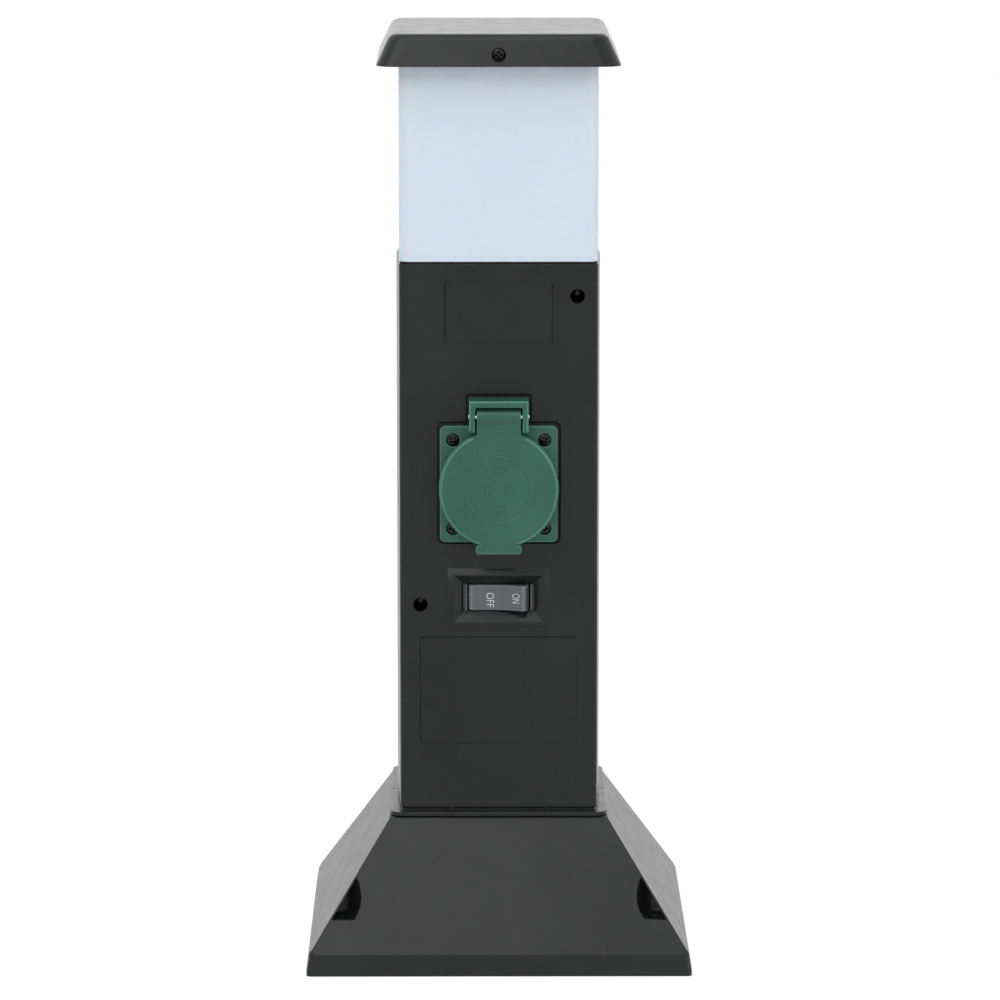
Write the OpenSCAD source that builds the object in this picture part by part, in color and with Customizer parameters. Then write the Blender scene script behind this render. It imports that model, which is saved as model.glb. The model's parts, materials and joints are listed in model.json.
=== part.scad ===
// Garden power post: a hollow base, a two-shell pillar with one lidded socket and a rocker
// switch, and an opal lamp head under a hipped roof.
// Millimetres, +Z up, front towards -Y, origin on the ground at the middle of the base.

/* [Base] */
// Width of the square base at the ground
base_w = 165; // [152:1:185]
// Height of the base up to the pillar's foot
base_h = 61.5; // [50:0.5:80]
// Horizontal wall of the base
base_wall = 2.6; // [2:0.1:4]
// Thickness of the deck that carries the pillar
deck_t = 3; // [2:0.1:4.5]
// Height of the upright skirt
skirt_h = 9; // [6:0.5:14]
// How far each skirt side leans in
skirt_lean = 1.5; // [0.5:0.1:3]
// Distance between neighbouring anchor holes
anchor_pitch = 133; // [128:1:138]
// Radius of the anchor holes
anchor_r = 2.75; // [2:0.05:3.5]
// Radius of the anchor pockets
pocket_r = 7.5; // [6:0.1:8.5]
// Height of the anchor pockets' floor
pocket_z = 22; // [16:0.5:26]
// Thickness of the anchor pockets' floor
pocket_floor_t = 3; // [2:0.1:5]
// Wall that stays between a pocket and the side face
pocket_side_t = 0.8; // [0.5:0.1:2]
// Width of the cable notch in the rear skirt
notch_w = 13; // [8:0.5:18]

/* [Pillar] */
// Width of the pillar's front and rear faces
face_w = 84.6; // [80:0.2:90]
// Width of the pillar at its side seams
seam_w = 87.8; // [87:0.2:91]
// Depth of the pillar
pillar_d = 85.6; // [82:0.2:90]
// Height of the two shells
pillar_h = 238.5; // [225:0.5:280]
// Wall of the two shells
shell_wall = 2.5; // [2:0.1:3.2]
// Radius of the pillar's upright edges
edge_r = 2; // [1:0.1:2.4]
// Width of the foot flange
foot_w = 93.4; // [92:0.2:98]
// Thickness of the foot flange
foot_t = 1.8; // [1.2:0.1:3]
// Plan radius of the foot flange's corners
foot_r = 5; // [2:0.5:8]
// Height of the shadow groove above the foot flange
groove_h = 1.2; // [0.6:0.1:2]
// Depth of the shadow groove
groove_d = 0.8; // [0.4:0.1:1.4]
// Depth of the two label fields
field_d = 0.2; // [0.1:0.05:0.8]

/* [Socket] */
// Height of the socket's centre above the foot
socket_up = 144.7; // [135:0.1:160]
// Width and height of the socket's plate
plate_w = 50; // [49:0.1:56]
// Thickness of the socket's plate
plate_t = 4; // [3.4:0.1:5]
// Corner radius of the socket's plate
plate_r = 2.4; // [1:0.1:5]
// Sideways distance between the plate's screws
plate_pitch_x = 39; // [38.4:0.1:40]
// Upright distance between the plate's screws
plate_pitch_z = 38; // [37.6:0.1:39.4]
// Dark gap round the plate in its recess
recess_gap = 1.2; // [0.8:0.1:2]
// Depth of the recess behind the plate
recess_d = 1.2; // [0.8:0.1:1.5]
// Radius of the plug well
well_r = 19.5; // [18.5:0.1:20]
// Depth of the plug well
well_depth = 17.5; // [15:0.1:19]
// Wall round the plug well
well_wall = 2; // [1.6:0.1:2.2]
// Height of the collar that the lid's seal meets
collar_h = 1.6; // [1:0.1:2.2]
// Distance between the plug's two pins
plug_pitch = 19; // [18:0.1:20]
// Bore of the contact sleeves
sleeve_r = 2.45; // [2.3:0.01:2.6]

/* [Lid] */
// Radius of the round lid
lid_r = 25.5; // [24.6:0.1:26.5]
// How far the lid's centre lies below the plate's centre
lid_drop = 1.4; // [0.8:0.1:1.8]
// Thickness of the lid at its rim
lid_t = 6; // [5.4:0.1:7]
// Thickness of the lid's front wall
lid_wall = 2.6; // [1.8:0.1:3]
// Height of the hinge pin above the plate's centre
pin_up = 29.7; // [29.3:0.1:31]
// Radius of the hinge pin
hinge_pin_r = 1; // [0.8:0.05:1.2]
// Radius of the lid's knuckle
knuckle_r = 3.6; // [3.3:0.1:3.8]
// Width of the lid's tab
tab_w = 18.7; // [17:0.1:19.5]
// Width of the hinge bracket
bracket_w = 25.2; // [24.6:0.1:27]
// Thickness of the bracket's arms
arm_t = 2.5; // [2:0.1:2.6]
// Width of the finger lip
lip_w = 19.4; // [14:0.1:24]
// How far the finger lip stands below the lid
lip_drop = 2.3; // [1:0.1:4]

/* [Switch] */
// Height of the switch's centre above the foot
switch_up = 94.8; // [92:0.1:98]
// Width of the raised surround
surround_w = 44.4; // [43:0.1:50]
// Height of the raised surround
surround_h = 26.8; // [25:0.1:30]
// How far the surround stands proud of the pillar
surround_t = 2.2; // [1.5:0.1:3]
// Width of the surround's sloping edge
surround_slope = 2.8; // [1.5:0.1:3.4]
// Gap between the opening and the cheeks at the rocker's ends
cheek_gap = 0.9; // [0.4:0.1:1.2]
// Width of the flange that seats the switch behind the wall
seat_w = 33; // [32:0.5:36]
// Height of the flange that seats the switch behind the wall
seat_h = 17; // [16:0.5:20]
// Thickness of the flange that seats the switch behind the wall
seat_t = 1.2; // [0.8:0.1:1.6]
// Height of the rocker
rocker_h = 11.2; // [10.6:0.1:11.6]
// Radius of the rocker's ends round its pivot
rocker_r = 13.2; // [12.8:0.1:13.4]
// Lean of the rocker to either side
rocker_tilt = 8; // [5:0.5:9]

/* [Lamp head] */
// How far the opal diffuser stands in from the pillar's narrower side
diffuser_in = 0.05; // [0:0.05:1]
// Height of the diffuser that shows under the roof
diffuser_show = 83.4; // [75:0.1:110]
// Wall of the diffuser
diffuser_wall = 2.2; // [1.6:0.1:3]
// Radius of the diffuser's upright edges
diffuser_r = 4; // [3:0.1:6]
// Thickness of the gasket under the diffuser
gasket_t = 0.9; // [0.6:0.1:1.5]
// Thickness of the plate that carries the lamp holder
lamp_deck_t = 2.5; // [2:0.1:3.5]
// Radius of the bulb's globe
globe_r = 22.5; // [18:0.5:26]
// Radius of the bulb's screw cap
cap_r = 13.3; // [12.8:0.05:13.4]

/* [Roof] */
// Width of the roof at its lower edge
roof_w = 103.5; // [100:0.5:112]
// Height of the roof
roof_h = 13.3; // [12.5:0.1:18]
// How far each roof side leans in
roof_lean = 6.1; // [3:0.1:8]
// Wall of the roof
roof_wall = 2.4; // [1.8:0.1:3]
// Plan radius of the roof's corners
roof_corner_r = 9; // [7:0.5:14]
// Radius of the edge round the roof's top
roof_edge_r = 4; // [2:0.1:5]
// Height of the roof's screws above its lower edge
roof_screw_up = 4.8; // [4.6:0.1:5.6]

/* [Cable gland] */
// Radius of the gland's thread
gland_r = 10; // [9:0.1:12]
// Radius of the supply cable that the seal grips
cable_r = 4.5; // [3:0.1:5.5]

/* [Screws and fits] */
// Radius of the screws' shanks
screw_r = 1.5; // [1.3:0.05:1.7]
// Radius of the screws' heads
head_r = 2.75; // [2.5:0.05:2.9]
// Thickness of the screws' heads
head_t = 2.1; // [1.8:0.1:2.3]
// Outer radius of the screw bosses
boss_r = 4; // [3.7:0.1:4.3]
// Gap between neighbouring parts that don't touch
gap = 0.3; // [0.2:0.05:0.4]
// Running clearance round pins and screws
snug = 0.05; // [0.03:0.01:0.08]
// Radius of the inner wires
wire_r = 1.4; // [1:0.1:1.6]

/* [Hidden] */
$fn = 64;

// Colours as the photograph shows them
black = [0.21, 0.215, 0.22];
green = [0.24, 0.42, 0.36];
grey = [0.38, 0.385, 0.39];
opal = [0.86, 0.9, 0.94];
rubber = [0.08, 0.08, 0.085];
steel = [0.75, 0.76, 0.78];
brass = [0.78, 0.62, 0.3];
cream = [0.9, 0.88, 0.82];

// Overlap of two solids that are joined, and the reach of a cut past a face
bite = 0.4;
past = 1;

// Base
base_top_w = foot_w - 0.6;
side_rate = (base_w / 2 - skirt_lean - base_top_w / 2) / (base_h - skirt_h);
pocket_wall = 2;
boss_core_r = pocket_r - 2.5;
notch_h = 7;
notch_in = 8;

// Pillar
shell_top = base_h + pillar_h;
inner_d = pillar_d - 2 * shell_wall;
inner_w = face_w - 2 * shell_wall;
face_y = -pillar_d / 2;
foot_boss_x = inner_w / 2 - boss_r + bite;
foot_boss_y = inner_d / 2 - boss_r + bite;
foot_boss_h = 16;
boss_cap_t = 1.5;
boss_rib_t = 2.4;
tick_x = 20.6;
tick_w = 1.2;
tongue_t = 1.2;
tongue_reach = 3;
tongue_root = 4;
tongue_gap = 0.15;

// Shell screws, one near the top right corner and one left of the switch
shell_screw_x = 33.5;
shell_screw_low = switch_up - 3;
shell_screw_high = pillar_h - 13.8;
shell_screw_seat = face_y + 10.8;
shell_screw_len = 46;
shell_boss_r = boss_r + 0.2;
shell_boss_gap = 0.1;
field_r = 0.8;
field_high = [0, pillar_h - 20.8, 45.7, 26];
field_low = [0, 54.6, 67.2, 46.2];

// Socket
socket_z = base_h + socket_up;
recess_y = face_y + recess_d;
plate_back = recess_y - gasket_t - 0.1;
plate_front = plate_back - plate_t;
collar_front = plate_front - collar_h;
well_floor = plate_front + well_depth;
plate_boss_back = -inner_d / 2 + 7;
plate_boss_floor = 1;
plate_seat = plate_front + head_t + 0.1;
floor_t = 2.5;
carrier_front = well_floor + floor_t;
carrier_t = 18;
carrier_back = carrier_front + carrier_t;
skirt_back = carrier_front + 12;
barrel_r = well_r + well_wall;
well_hole_back = -inner_d / 2 + 8;
plate_boss_r = boss_r - 0.6;
pin_hole_r = sleeve_r + 0.55;
carrier_r = well_r - 0.2;
strap_w = 6;
strap_t = 0.8;
strap_z = well_r - 1;
strap_slot_w = strap_w + 0.8;
strap_slot_z = strap_z + strap_t + 0.4;
post_w = 6.4;
post_t = 6.6;
post_y = carrier_back + post_t / 2;
post_hole_r = wire_r + 0.5;
sleeve_out = sleeve_r + 0.75;
strap_in = 2.5;
strap_bridge_y = carrier_back + 0.1;
strap_bridge_t = 1.2;
earth_post_w = 5.6;
earth_post_h = 4;
strap_screw_len = 6;
strap_bulge_r = 0.9;
clamp_r = 1.2;
clamp_head_r = 2.2;
clamp_head_t = 1.5;
slot_w = 0.6;
sleeve_front = carrier_front + gap;
sleeve_end_t = 2;

// Lid
pin_z = socket_z + pin_up;
pin_y = plate_front - 0.4 - knuckle_r;
lid_z = socket_z - lid_drop;
lid_front = pin_y - 2.4;
lid_back = lid_front + lid_t;
bracket_top = pin_z + 7.1;
bar_under = pin_z + knuckle_r + 0.7;
bracket_front = pin_y - knuckle_r;
bracket_back_t = 1.6;
bracket_r = 2;
arm_bottom = pin_z - 7;
lip_t = 3;
lip_r = 1.2;
lid_edge = 0.9;
hollow_r = lid_r - 1.6;
seal_in = well_r - 3;
seal_front = lid_front + lid_wall;
seal_back = collar_front - gap;
spring_cut_r = knuckle_r - 1.5;
spring_w = 8;
spring_in = 0.4;
spring_cut_w = spring_w + 1.2;
spring_wire = 0.3;
spring_turns = 7;
spring_steps = 10;
spring_leg = knuckle_r + 0.9;
spring_mean = hinge_pin_r + snug + spring_wire + 0.1;
emblem_r = 14.5;
emblem_line = 0.8;
emblem_t = 0.3;

// Switch
switch_z = base_h + switch_up;
surround_y = face_y - surround_t;
rocker_y = face_y + 4.1;
cavity_w = 2 * (rocker_r + gap);
cavity_h = rocker_h + 0.6;
cheek_t = 0.8;
cheek_h = cavity_h - 0.2;
cheek_y = face_y + 0.2;
housing_w = cavity_w + 2 * cheek_t;
housing_h = cavity_h + 1.2;
opening_w = housing_w + 2 * cheek_gap;
opening_h = rocker_h + 0.8;
funnel_back = face_y + 1.3;
funnel_lip = 0.6;
funnel_w = surround_w - 2 * (surround_slope + funnel_lip);
funnel_h = surround_h - 2 * (surround_slope + funnel_lip);
funnel_lean = [(funnel_w - opening_w) / 2, (funnel_h - opening_h) / 2];
housing_y = funnel_back + 0.5;
hook_w = 8;
hook_t = 1.6;
hook_in = 0.7;
housing_floor = rocker_y + 13.2;
housing_floor_t = 1.5;
rocker_top = 6.2;
rocker_dip = 3.7;
rocker_web = 4;
rocker_under = 2.6;
pivot_r = 1.2;
pivot_out = 0.8;
seesaw_y = rocker_y + 9;
seesaw_t = 0.8;
seesaw_half = 8;
seesaw_w = 3.2;
seesaw_tilt = 0.75 * rocker_tilt;
blade_x = 9;
blade_w = 6.3;
blade_t = 0.8;
blade_end = housing_floor + housing_floor_t + 7;
pip_r = 1.3;
pip_h = 0.5;
plunger_r = 1.5;
plunger_tip = 7.2;

// Terminal block on the rear wall
block_up = 42.5;
block_w = 36;
block_d = 14;
block_h = 16;
block_in = 4;
block_z = base_h + block_up;
block_back = inner_d / 2 - block_in;
block_front = block_back - block_d;
pole_pitch = 8;
pole_y = block_back - block_d / 2;
block_screw_x = 14.3;
block_seat = block_front + head_t + 0.2;
block_post_r = 3.4;
block_post_hole = 3.5;
barrel_in = 1.9;
barrel_out = 2.6;
barrel_h = 12;
pole_screw_z = 4;
pole_screw_y = block_front + 1;
pole_head_r = 1.8;

// Lamp head
diffuser_w = min(face_w, pillar_d) - 2 * diffuser_in;
diffuser_z = shell_top + gasket_t;
roof_z = shell_top + gasket_t + diffuser_show;
diffuser_top = roof_z + roof_h - roof_wall - 2.2;
neck_w = min(inner_w, inner_d) - 2 * gap;
neck_wall = 2;
neck_in = neck_w - 2 * neck_wall;
neck_r = 3;
neck_h = 6.5;
neck_z = shell_top - neck_h;
neck_floor_t = 2;
neck_floor_w = 9.5;
neck_hole = neck_w - 2 * neck_floor_w;
lamp_deck_z = neck_z - lamp_deck_t;
deck_screw_in = 6;
deck_screw_x = 18;
deck_screw_y = neck_w / 2 - deck_screw_in;
deck_boss_h = 15;
roof_pad_back = -diffuser_w / 2 + 8;
roof_pad_r = min(boss_r, diffuser_top - roof_z - roof_screw_up - 0.1);
holder_r = 17;
holder_rim_r = 21;
holder_rim_t = 2.5;
holder_nut_t = 4.5;
contact_r = 7;
contact_t = 0.8;
contact_tip_r = 2.5;
holder_d = 31.5;
holder_floor_t = 4;
holder_bottom = neck_z - holder_d;
holder_floor = holder_bottom + holder_floor_t;
sleeve_gap = 0.15;
lamp_sleeve_t = 0.6;
lamp_sleeve_r = cap_r + sleeve_gap + lamp_sleeve_t;
cap_tip_h = 2;
cap_z = holder_floor + 2 * cap_tip_h;
cap_top = neck_z + holder_rim_t;
globe_stem = 19.5;
globe_z = cap_top + globe_r + globe_stem;
bulb_neck_h = 5;

// Roof
roof_inner_top = roof_z + roof_h - roof_wall;
roof_screw_z = roof_z + roof_screw_up;
roof_face = roof_w / 2 - roof_lean * roof_screw_up / roof_h;
roof_seat = roof_face - 3.1;
roof_gasket_w = 2.3;

// Gland
gland_z = base_h - deck_t;
gland_hex_r = gland_r * 1.386;
gland_hex_t = 7;
gland_low_r = gland_r - 1;
gland_bore = gland_r - 3.8;
seal_r = gland_r - 2.5;
gland_low = gland_z - gland_hex_t - 8.5;
gland_top = base_h + 9;
locknut_t = 5;
gland_seal_h = 6.4;
gland_nut_h = 7.5;
gland_cone_h = 4;

// Wire ends: block poles, socket posts, earth post, switch blades and lamp holder
block_top = block_z + 4.5;
post_low = socket_z - post_w / 2 + 1;
post_high = socket_z + post_w / 2 - 1;
earth_end = socket_z - 7;
lamp_wire_x = 6;
lamp_wire_z = holder_bottom + 2.2;
lamp_wire_low = holder_bottom - 4;
lamp_wire_start = holder_bottom - 12;
switch_wire_y = blade_end + 0.15;

// Points of an arc round a centre
function arc(c, r, a, b, n = 6) =
    [for (i = [0:n]) c + r * [cos(a + (b - a) * i / n), sin(a + (b - a) * i / n)]];

// Outline of a rectangle with round corners, round the origin
function soft_rect(w, d, r) = let (x = w / 2 - r, y = d / 2 - r) concat(
    arc([x, y], r, 0, 90), arc([-x, y], r, 90, 180),
    arc([-x, -y], r, 180, 270), arc([x, -y], r, 270, 360));

// Plan of the pillar, drawn in by an inset
function pillar_plan(inset) = let (
    r = max(edge_r - inset, 0.4),
    x = face_w / 2 - inset - r,
    y = pillar_d / 2 - inset - r,
    s = seam_w / 2 - inset
) concat(
    [[s, 0]], arc([x, y], r, 0, 90), arc([-x, y], r, 90, 180),
    [[-s, 0]], arc([-x, -y], r, 180, 270), arc([x, -y], r, 270, 360));

// Side view of the base, drawn in by an inset and closed below a given height
function base_side(inset, low, top) = let (
    a = base_w / 2 - inset,
    b = a - skirt_lean,
    c = b - side_rate * (top - skirt_h)
) [[-a, low], [a, low], [a, 0], [b, skirt_h], [c, top], [-c, top], [-b, skirt_h], [-a, 0]];

// Upright prism over an outline
module upright(z, h) translate([0, 0, z]) linear_extrude(h) children();

// Plate over an X and Z outline, from its back plane towards the front
module forward(y, t) translate([0, y, 0]) rotate([90, 0, 0]) linear_extrude(t) children();

// Cylinder along Y, from its front end to its back end
module rod_y(x, z, front, back, r) translate([x, front, z]) rotate([-90, 0, 0])
    cylinder(h = back - front, r = r);

// Cylinder along X, centred on x = 0
module rod_x(y, z, w, r) translate([-w / 2, y, z]) rotate([0, 90, 0]) cylinder(h = w, r = r);

module rod_z(x, y, low, high, r) translate([x, y, low]) cylinder(h = high - low, r = r);

module box(low, high) translate(low) cube(high - low);

// Screw along Y with its head at the front; the seat is the plane under its head
module screw_y(x, z, seat, len, turn = 0) rotate([0, 0, turn]) difference() {
    union() {
        rod_y(x, z, seat - head_t, seat, head_r);
        rod_y(x, z, seat - 0.01, seat + len, screw_r);
    }
    cross_slot(x, seat - head_t, z);
}

// Cross recess in a screw head that faces the front
module cross_slot(x, y, z) for (a = [45, 135]) translate([x, y, z]) rotate([0, a, 0])
    cube([3, 2, 0.8], center = true);

// Screw along Z with its head at the bottom or the top
module screw_z(x, y, seat, len, up) translate([x, y, seat]) mirror([0, 0, up ? 0 : 1])
    difference() {
        union() {
            translate([0, 0, -head_t]) cylinder(h = head_t, r = head_r);
            cylinder(h = len, r = screw_r);
        }
        for (a = [0, 90]) translate([0, 0, -head_t]) rotate([0, 0, a])
            cube([3, 0.8, 2], center = true);
    }

module corners(x, y) for (i = [-1, 1], j = [-1, 1]) translate([i * x, j * y, 0]) children();

// Solid inside the base's four sloping sides
module base_block(inset, low, top) intersection() {
    rotate([90, 0, 0]) linear_extrude(2 * base_w, center = true)
        polygon(base_side(inset, low, top));
    rotate([90, 0, 90]) linear_extrude(2 * base_w, center = true)
        polygon(base_side(inset, low, top));
}

module base() color(black) difference() {
    union() {
        difference() {
            base_block(0, 0, base_h);
            base_block(base_wall, -past, base_h - deck_t);
        }
        intersection() {
            base_block(0, 0, base_h - deck_t);
            corners(anchor_pitch / 2, anchor_pitch / 2)
                cylinder(h = base_h, r = pocket_r + pocket_wall);
        }
    }
    intersection() {
        corners(anchor_pitch / 2, anchor_pitch / 2)
            translate([0, 0, pocket_z]) cylinder(h = base_h, r = pocket_r);
        rotate([90, 0, 0]) linear_extrude(2 * base_w, center = true)
            polygon(base_side(pocket_side_t, -past, base_h));
    }
    corners(anchor_pitch / 2, anchor_pitch / 2) {
        rod_z(0, 0, -past, pocket_z + past, anchor_r);
        rod_z(0, 0, -past, pocket_z - pocket_floor_t, boss_core_r);
    }
    corners(foot_boss_x, foot_boss_y) rod_z(0, 0, gland_z - past, base_h + past, screw_r + snug);
    rod_z(0, 0, gland_z - past, base_h + past, gland_r + snug);
    box([-notch_w / 2, base_w / 2 - notch_in, -past], [notch_w / 2, base_w / 2 + past, notch_h]);
}

// One half of the pillar: the front half, or the rear half when turned round
module half_shell() {
    difference() {
        union() {
            upright(base_h, pillar_h) polygon(pillar_plan(0));
            upright(base_h, foot_t) polygon(soft_rect(foot_w, foot_w, foot_r));
        }
        upright(base_h - past, pillar_h + 2 * past) polygon(pillar_plan(shell_wall));
        box([-base_w, 0, 0], [base_w, base_w, shell_top + past]);
        difference() {
            upright(base_h + foot_t, groove_h) difference() {
                polygon(soft_rect(foot_w + 2 * past, foot_w + 2 * past, foot_r));
                polygon(pillar_plan(groove_d));
            }
            for (i = [-1, 1])
                box([i * tick_x - tick_w / 2, -foot_w, base_h],
                    [i * tick_x + tick_w / 2, 0, base_h + foot_t + groove_h]);
        }
    }
    for (i = [-1, 1]) difference() {
        union() {
            rod_z(i * foot_boss_x, -foot_boss_y, base_h, base_h + foot_boss_h, boss_r);
            rod_z(i * deck_screw_x, -deck_screw_y, lamp_deck_z - deck_boss_h, lamp_deck_z, boss_r);
            box([i * deck_screw_x - boss_rib_t / 2, -inner_d / 2 - bite, lamp_deck_z - deck_boss_h],
                [i * deck_screw_x + boss_rib_t / 2, -deck_screw_y, lamp_deck_z]);
        }
        rod_z(i * foot_boss_x, -foot_boss_y, base_h - past, base_h + foot_boss_h - boss_cap_t,
            screw_r + snug);
        rod_z(i * deck_screw_x, -deck_screw_y, lamp_deck_z - deck_boss_h + boss_cap_t,
            lamp_deck_z + past, screw_r + snug);
    }
}

// Block whose four sides slope in towards the far end, over the switch
module slope_block(w, h, lean, near, far) intersection() {
    translate([0, 0, switch_z - h]) linear_extrude(2 * h)
        polygon([[-w / 2, near], [w / 2, near], [w / 2 - lean[0], far], [-w / 2 + lean[0], far]]);
    translate([-w, 0, switch_z]) rotate([90, 0, 90]) linear_extrude(2 * w)
        polygon([[near, -h / 2], [near, h / 2], [far, h / 2 - lean[1]], [far, -h / 2 + lean[1]]]);
}

// Two hooks inside the wall that hold the switch's flange
module switch_hooks() for (i = [-1, 1])
    translate([0, -inner_d / 2, switch_z]) rotate([0, 90 - 90 * i, 0]) {
        box([-hook_w / 2, -bite, seat_h / 2 + snug],
            [hook_w / 2, seat_t + snug + hook_t, seat_h / 2 + snug + hook_t]);
        box([-hook_w / 2, seat_t + snug, seat_h / 2 - hook_in],
            [hook_w / 2, seat_t + snug + hook_t, seat_h / 2 + snug + hook_t]);
    }

// Recess round the socket's plate and its hinge bracket, as an X and Z outline
module plate_recess_outline(grow) {
    translate([0, socket_z]) polygon(soft_rect(plate_w + 2 * grow, plate_w + 2 * grow, plate_r));
    translate([0, (bracket_top + socket_z) / 2 + grow / 2]) square(
        [bracket_w + 2 * grow, bracket_top - socket_z + grow], center = true);
}

module label_field(f) forward(face_y + field_d, field_d + past) translate([f[0], base_h + f[1]])
    polygon(soft_rect(f[2], f[3], field_r));

// Places of the two long screws, as x and height above the foot
shell_screw_places = [[shell_screw_x, shell_screw_high], [-shell_screw_x, shell_screw_low]];

module plate_screw_places() for (i = [-1, 1], j = [-1, 1])
    translate([i * plate_pitch_x / 2, 0, socket_z + j * plate_pitch_z / 2]) children();

module front_shell() color(black) difference() {
    union() {
        half_shell();
        for (p = shell_screw_places)
            rod_y(p[0], base_h + p[1], -inner_d / 2 - bite, -shell_boss_gap, shell_boss_r);
        plate_screw_places() rod_y(0, 0, -inner_d / 2 - bite, plate_boss_back, plate_boss_r);
        slope_block(surround_w, surround_h, surround_slope * [1, 1], face_y + bite, surround_y);
        switch_hooks();
        seam_tongue();
    }
    for (p = shell_screw_places) {
        rod_y(p[0], base_h + p[1], face_y - past, shell_screw_seat, head_r + gap);
        rod_y(p[0], base_h + p[1], face_y, past, screw_r + snug);
    }
    plate_screw_places() rod_y(0, 0, face_y, plate_boss_back - plate_boss_floor, screw_r + snug);
    forward(recess_y, recess_d + past) plate_recess_outline(recess_gap);
    rod_y(0, socket_z, face_y - past, well_hole_back, barrel_r + gap);
    slope_block(funnel_w, funnel_h, funnel_lean, surround_y - 0.01, funnel_back);
    forward(0, -face_y) translate([0, switch_z]) square([opening_w, opening_h], center = true);
    forward(0, -housing_y + snug) translate([0, switch_z])
        square([housing_w + gap, housing_h + gap], center = true);
    label_field(field_high);
    label_field(field_low);
}

// Inner lip along the front shell's seams that lines up the two shells
module seam_tongue() for (i = [-1, 1]) intersection() {
    box([i > 0 ? 0 : -base_w, -tongue_root, base_h + foot_boss_h + tongue_root],
        [i > 0 ? base_w : 0, tongue_reach, lamp_deck_z - deck_boss_h - tongue_root]);
    difference() {
        union() {
            upright(base_h, pillar_h) polygon(pillar_plan(shell_wall + tongue_gap));
            intersection() {
                upright(base_h, pillar_h) polygon(pillar_plan(shell_wall - bite));
                box([-base_w, -tongue_root - past, 0], [base_w, 0, shell_top]);
            }
        }
        upright(base_h - past, pillar_h + 2 * past)
            polygon(pillar_plan(shell_wall + tongue_gap + tongue_t));
    }
}

module rear_shell() color(black) difference() {
    union() {
        rotate([0, 0, 180]) half_shell();
        for (p = shell_screw_places)
            rod_y(p[0], base_h + p[1], shell_boss_gap, inner_d / 2 + bite, shell_boss_r);
        for (i = [-1, 1])
            rod_y(i * block_screw_x, block_z, block_back, inner_d / 2 + bite, block_post_r);
    }
    for (p = shell_screw_places)
        rod_y(p[0], base_h + p[1], 0, shell_screw_seat + shell_screw_len + past, screw_r + snug);
    for (i = [-1, 1]) rod_y(i * block_screw_x, block_z, block_back - past,
        block_back + block_post_hole, screw_r + snug);
}

module shell_screws() color(rubber) for (p = shell_screw_places)
    screw_y(p[0], base_h + p[1], shell_screw_seat, shell_screw_len);

module foot_screws() color(steel) corners(foot_boss_x, foot_boss_y)
    screw_z(0, 0, gland_z, deck_t + 12, true);

// Socket body: plate, hinge bracket, plug well and the skirt behind it in one moulding
module socket_body() color(green) difference() {
    union() {
        forward(plate_back, plate_t) translate([0, socket_z])
            polygon(soft_rect(plate_w, plate_w, plate_r));
        rod_y(0, socket_z, collar_front, skirt_back, barrel_r);
        hinge_bracket();
    }
    rod_y(0, socket_z, collar_front - past, well_floor, well_r);
    rod_y(0, socket_z, carrier_front, skirt_back + past, carrier_r + gap);
    for (i = [-1, 1])
        rod_y(i * plug_pitch / 2, socket_z, well_floor - past, carrier_front + past, pin_hole_r);
    box([-strap_slot_w / 2, plate_front, socket_z - strap_slot_z],
        [strap_slot_w / 2, well_floor + 0.01, socket_z + strap_slot_z]);
    for (i = [-1, 1]) translate([0, 0, socket_z + i * (strap_z + strap_t / 2)])
        box([-strap_slot_w / 2, well_floor - past, -strap_t / 2 - gap],
            [strap_slot_w / 2, carrier_front + past, strap_t / 2 + gap]);
    plate_screw_places() {
        rod_y(0, 0, plate_front - past, plate_seat, head_r + gap / 2);
        rod_y(0, 0, plate_front, plate_back + past, screw_r + snug);
    }
    rod_x(pin_y, pin_z, bracket_w + 2 * past, hinge_pin_r + snug);
}

module hinge_bracket() {
    for (i = [-1, 1]) {
        x = i * (bracket_w - arm_t) / 2;
        box([x - arm_t / 2, bracket_front + bracket_r, arm_bottom],
            [x + arm_t / 2, plate_back, bracket_top]);
        box([x - arm_t / 2, bracket_front, arm_bottom + bracket_r],
            [x + arm_t / 2, plate_back, bracket_top]);
        translate([x, 0, 0]) rod_x(bracket_front + bracket_r, arm_bottom + bracket_r, arm_t, bracket_r);
    }
    box([-bracket_w / 2, bracket_front, bar_under], [bracket_w / 2, plate_back, bracket_top]);
    box([-bracket_w / 2, plate_back - bracket_back_t, socket_z],
        [bracket_w / 2, plate_back, bracket_top]);
}

module socket_gasket() color(rubber) difference() {
    forward(recess_y, gasket_t) difference() {
        plate_recess_outline(recess_gap - 0.5);
        translate([0, socket_z]) circle(r = barrel_r + gap);
    }
    plate_screw_places() rod_y(0, 0, face_y - past, recess_y + past, screw_r + gap);
}

module plate_screws() color(rubber) plate_screw_places()
    screw_y(0, 0, plate_seat, plate_boss_back - plate_boss_floor - gap - plate_seat);

module contact_carrier() color(cream) difference() {
    rod_y(0, socket_z, carrier_front + 0.1, carrier_back, carrier_r);
    for (i = [-1, 1]) {
        rod_y(i * plug_pitch / 2, socket_z, carrier_front, carrier_back + past, sleeve_out + snug);
        translate([0, 0, socket_z + i * (strap_z + strap_t / 2)])
            box([-strap_slot_w / 2, carrier_front, -strap_t / 2 - gap],
                [strap_slot_w / 2, carrier_back + past, strap_t / 2 + gap]);
    }
    rod_y(0, socket_z, carrier_back - strap_screw_len, carrier_back + past, screw_r + snug);
}

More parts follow.
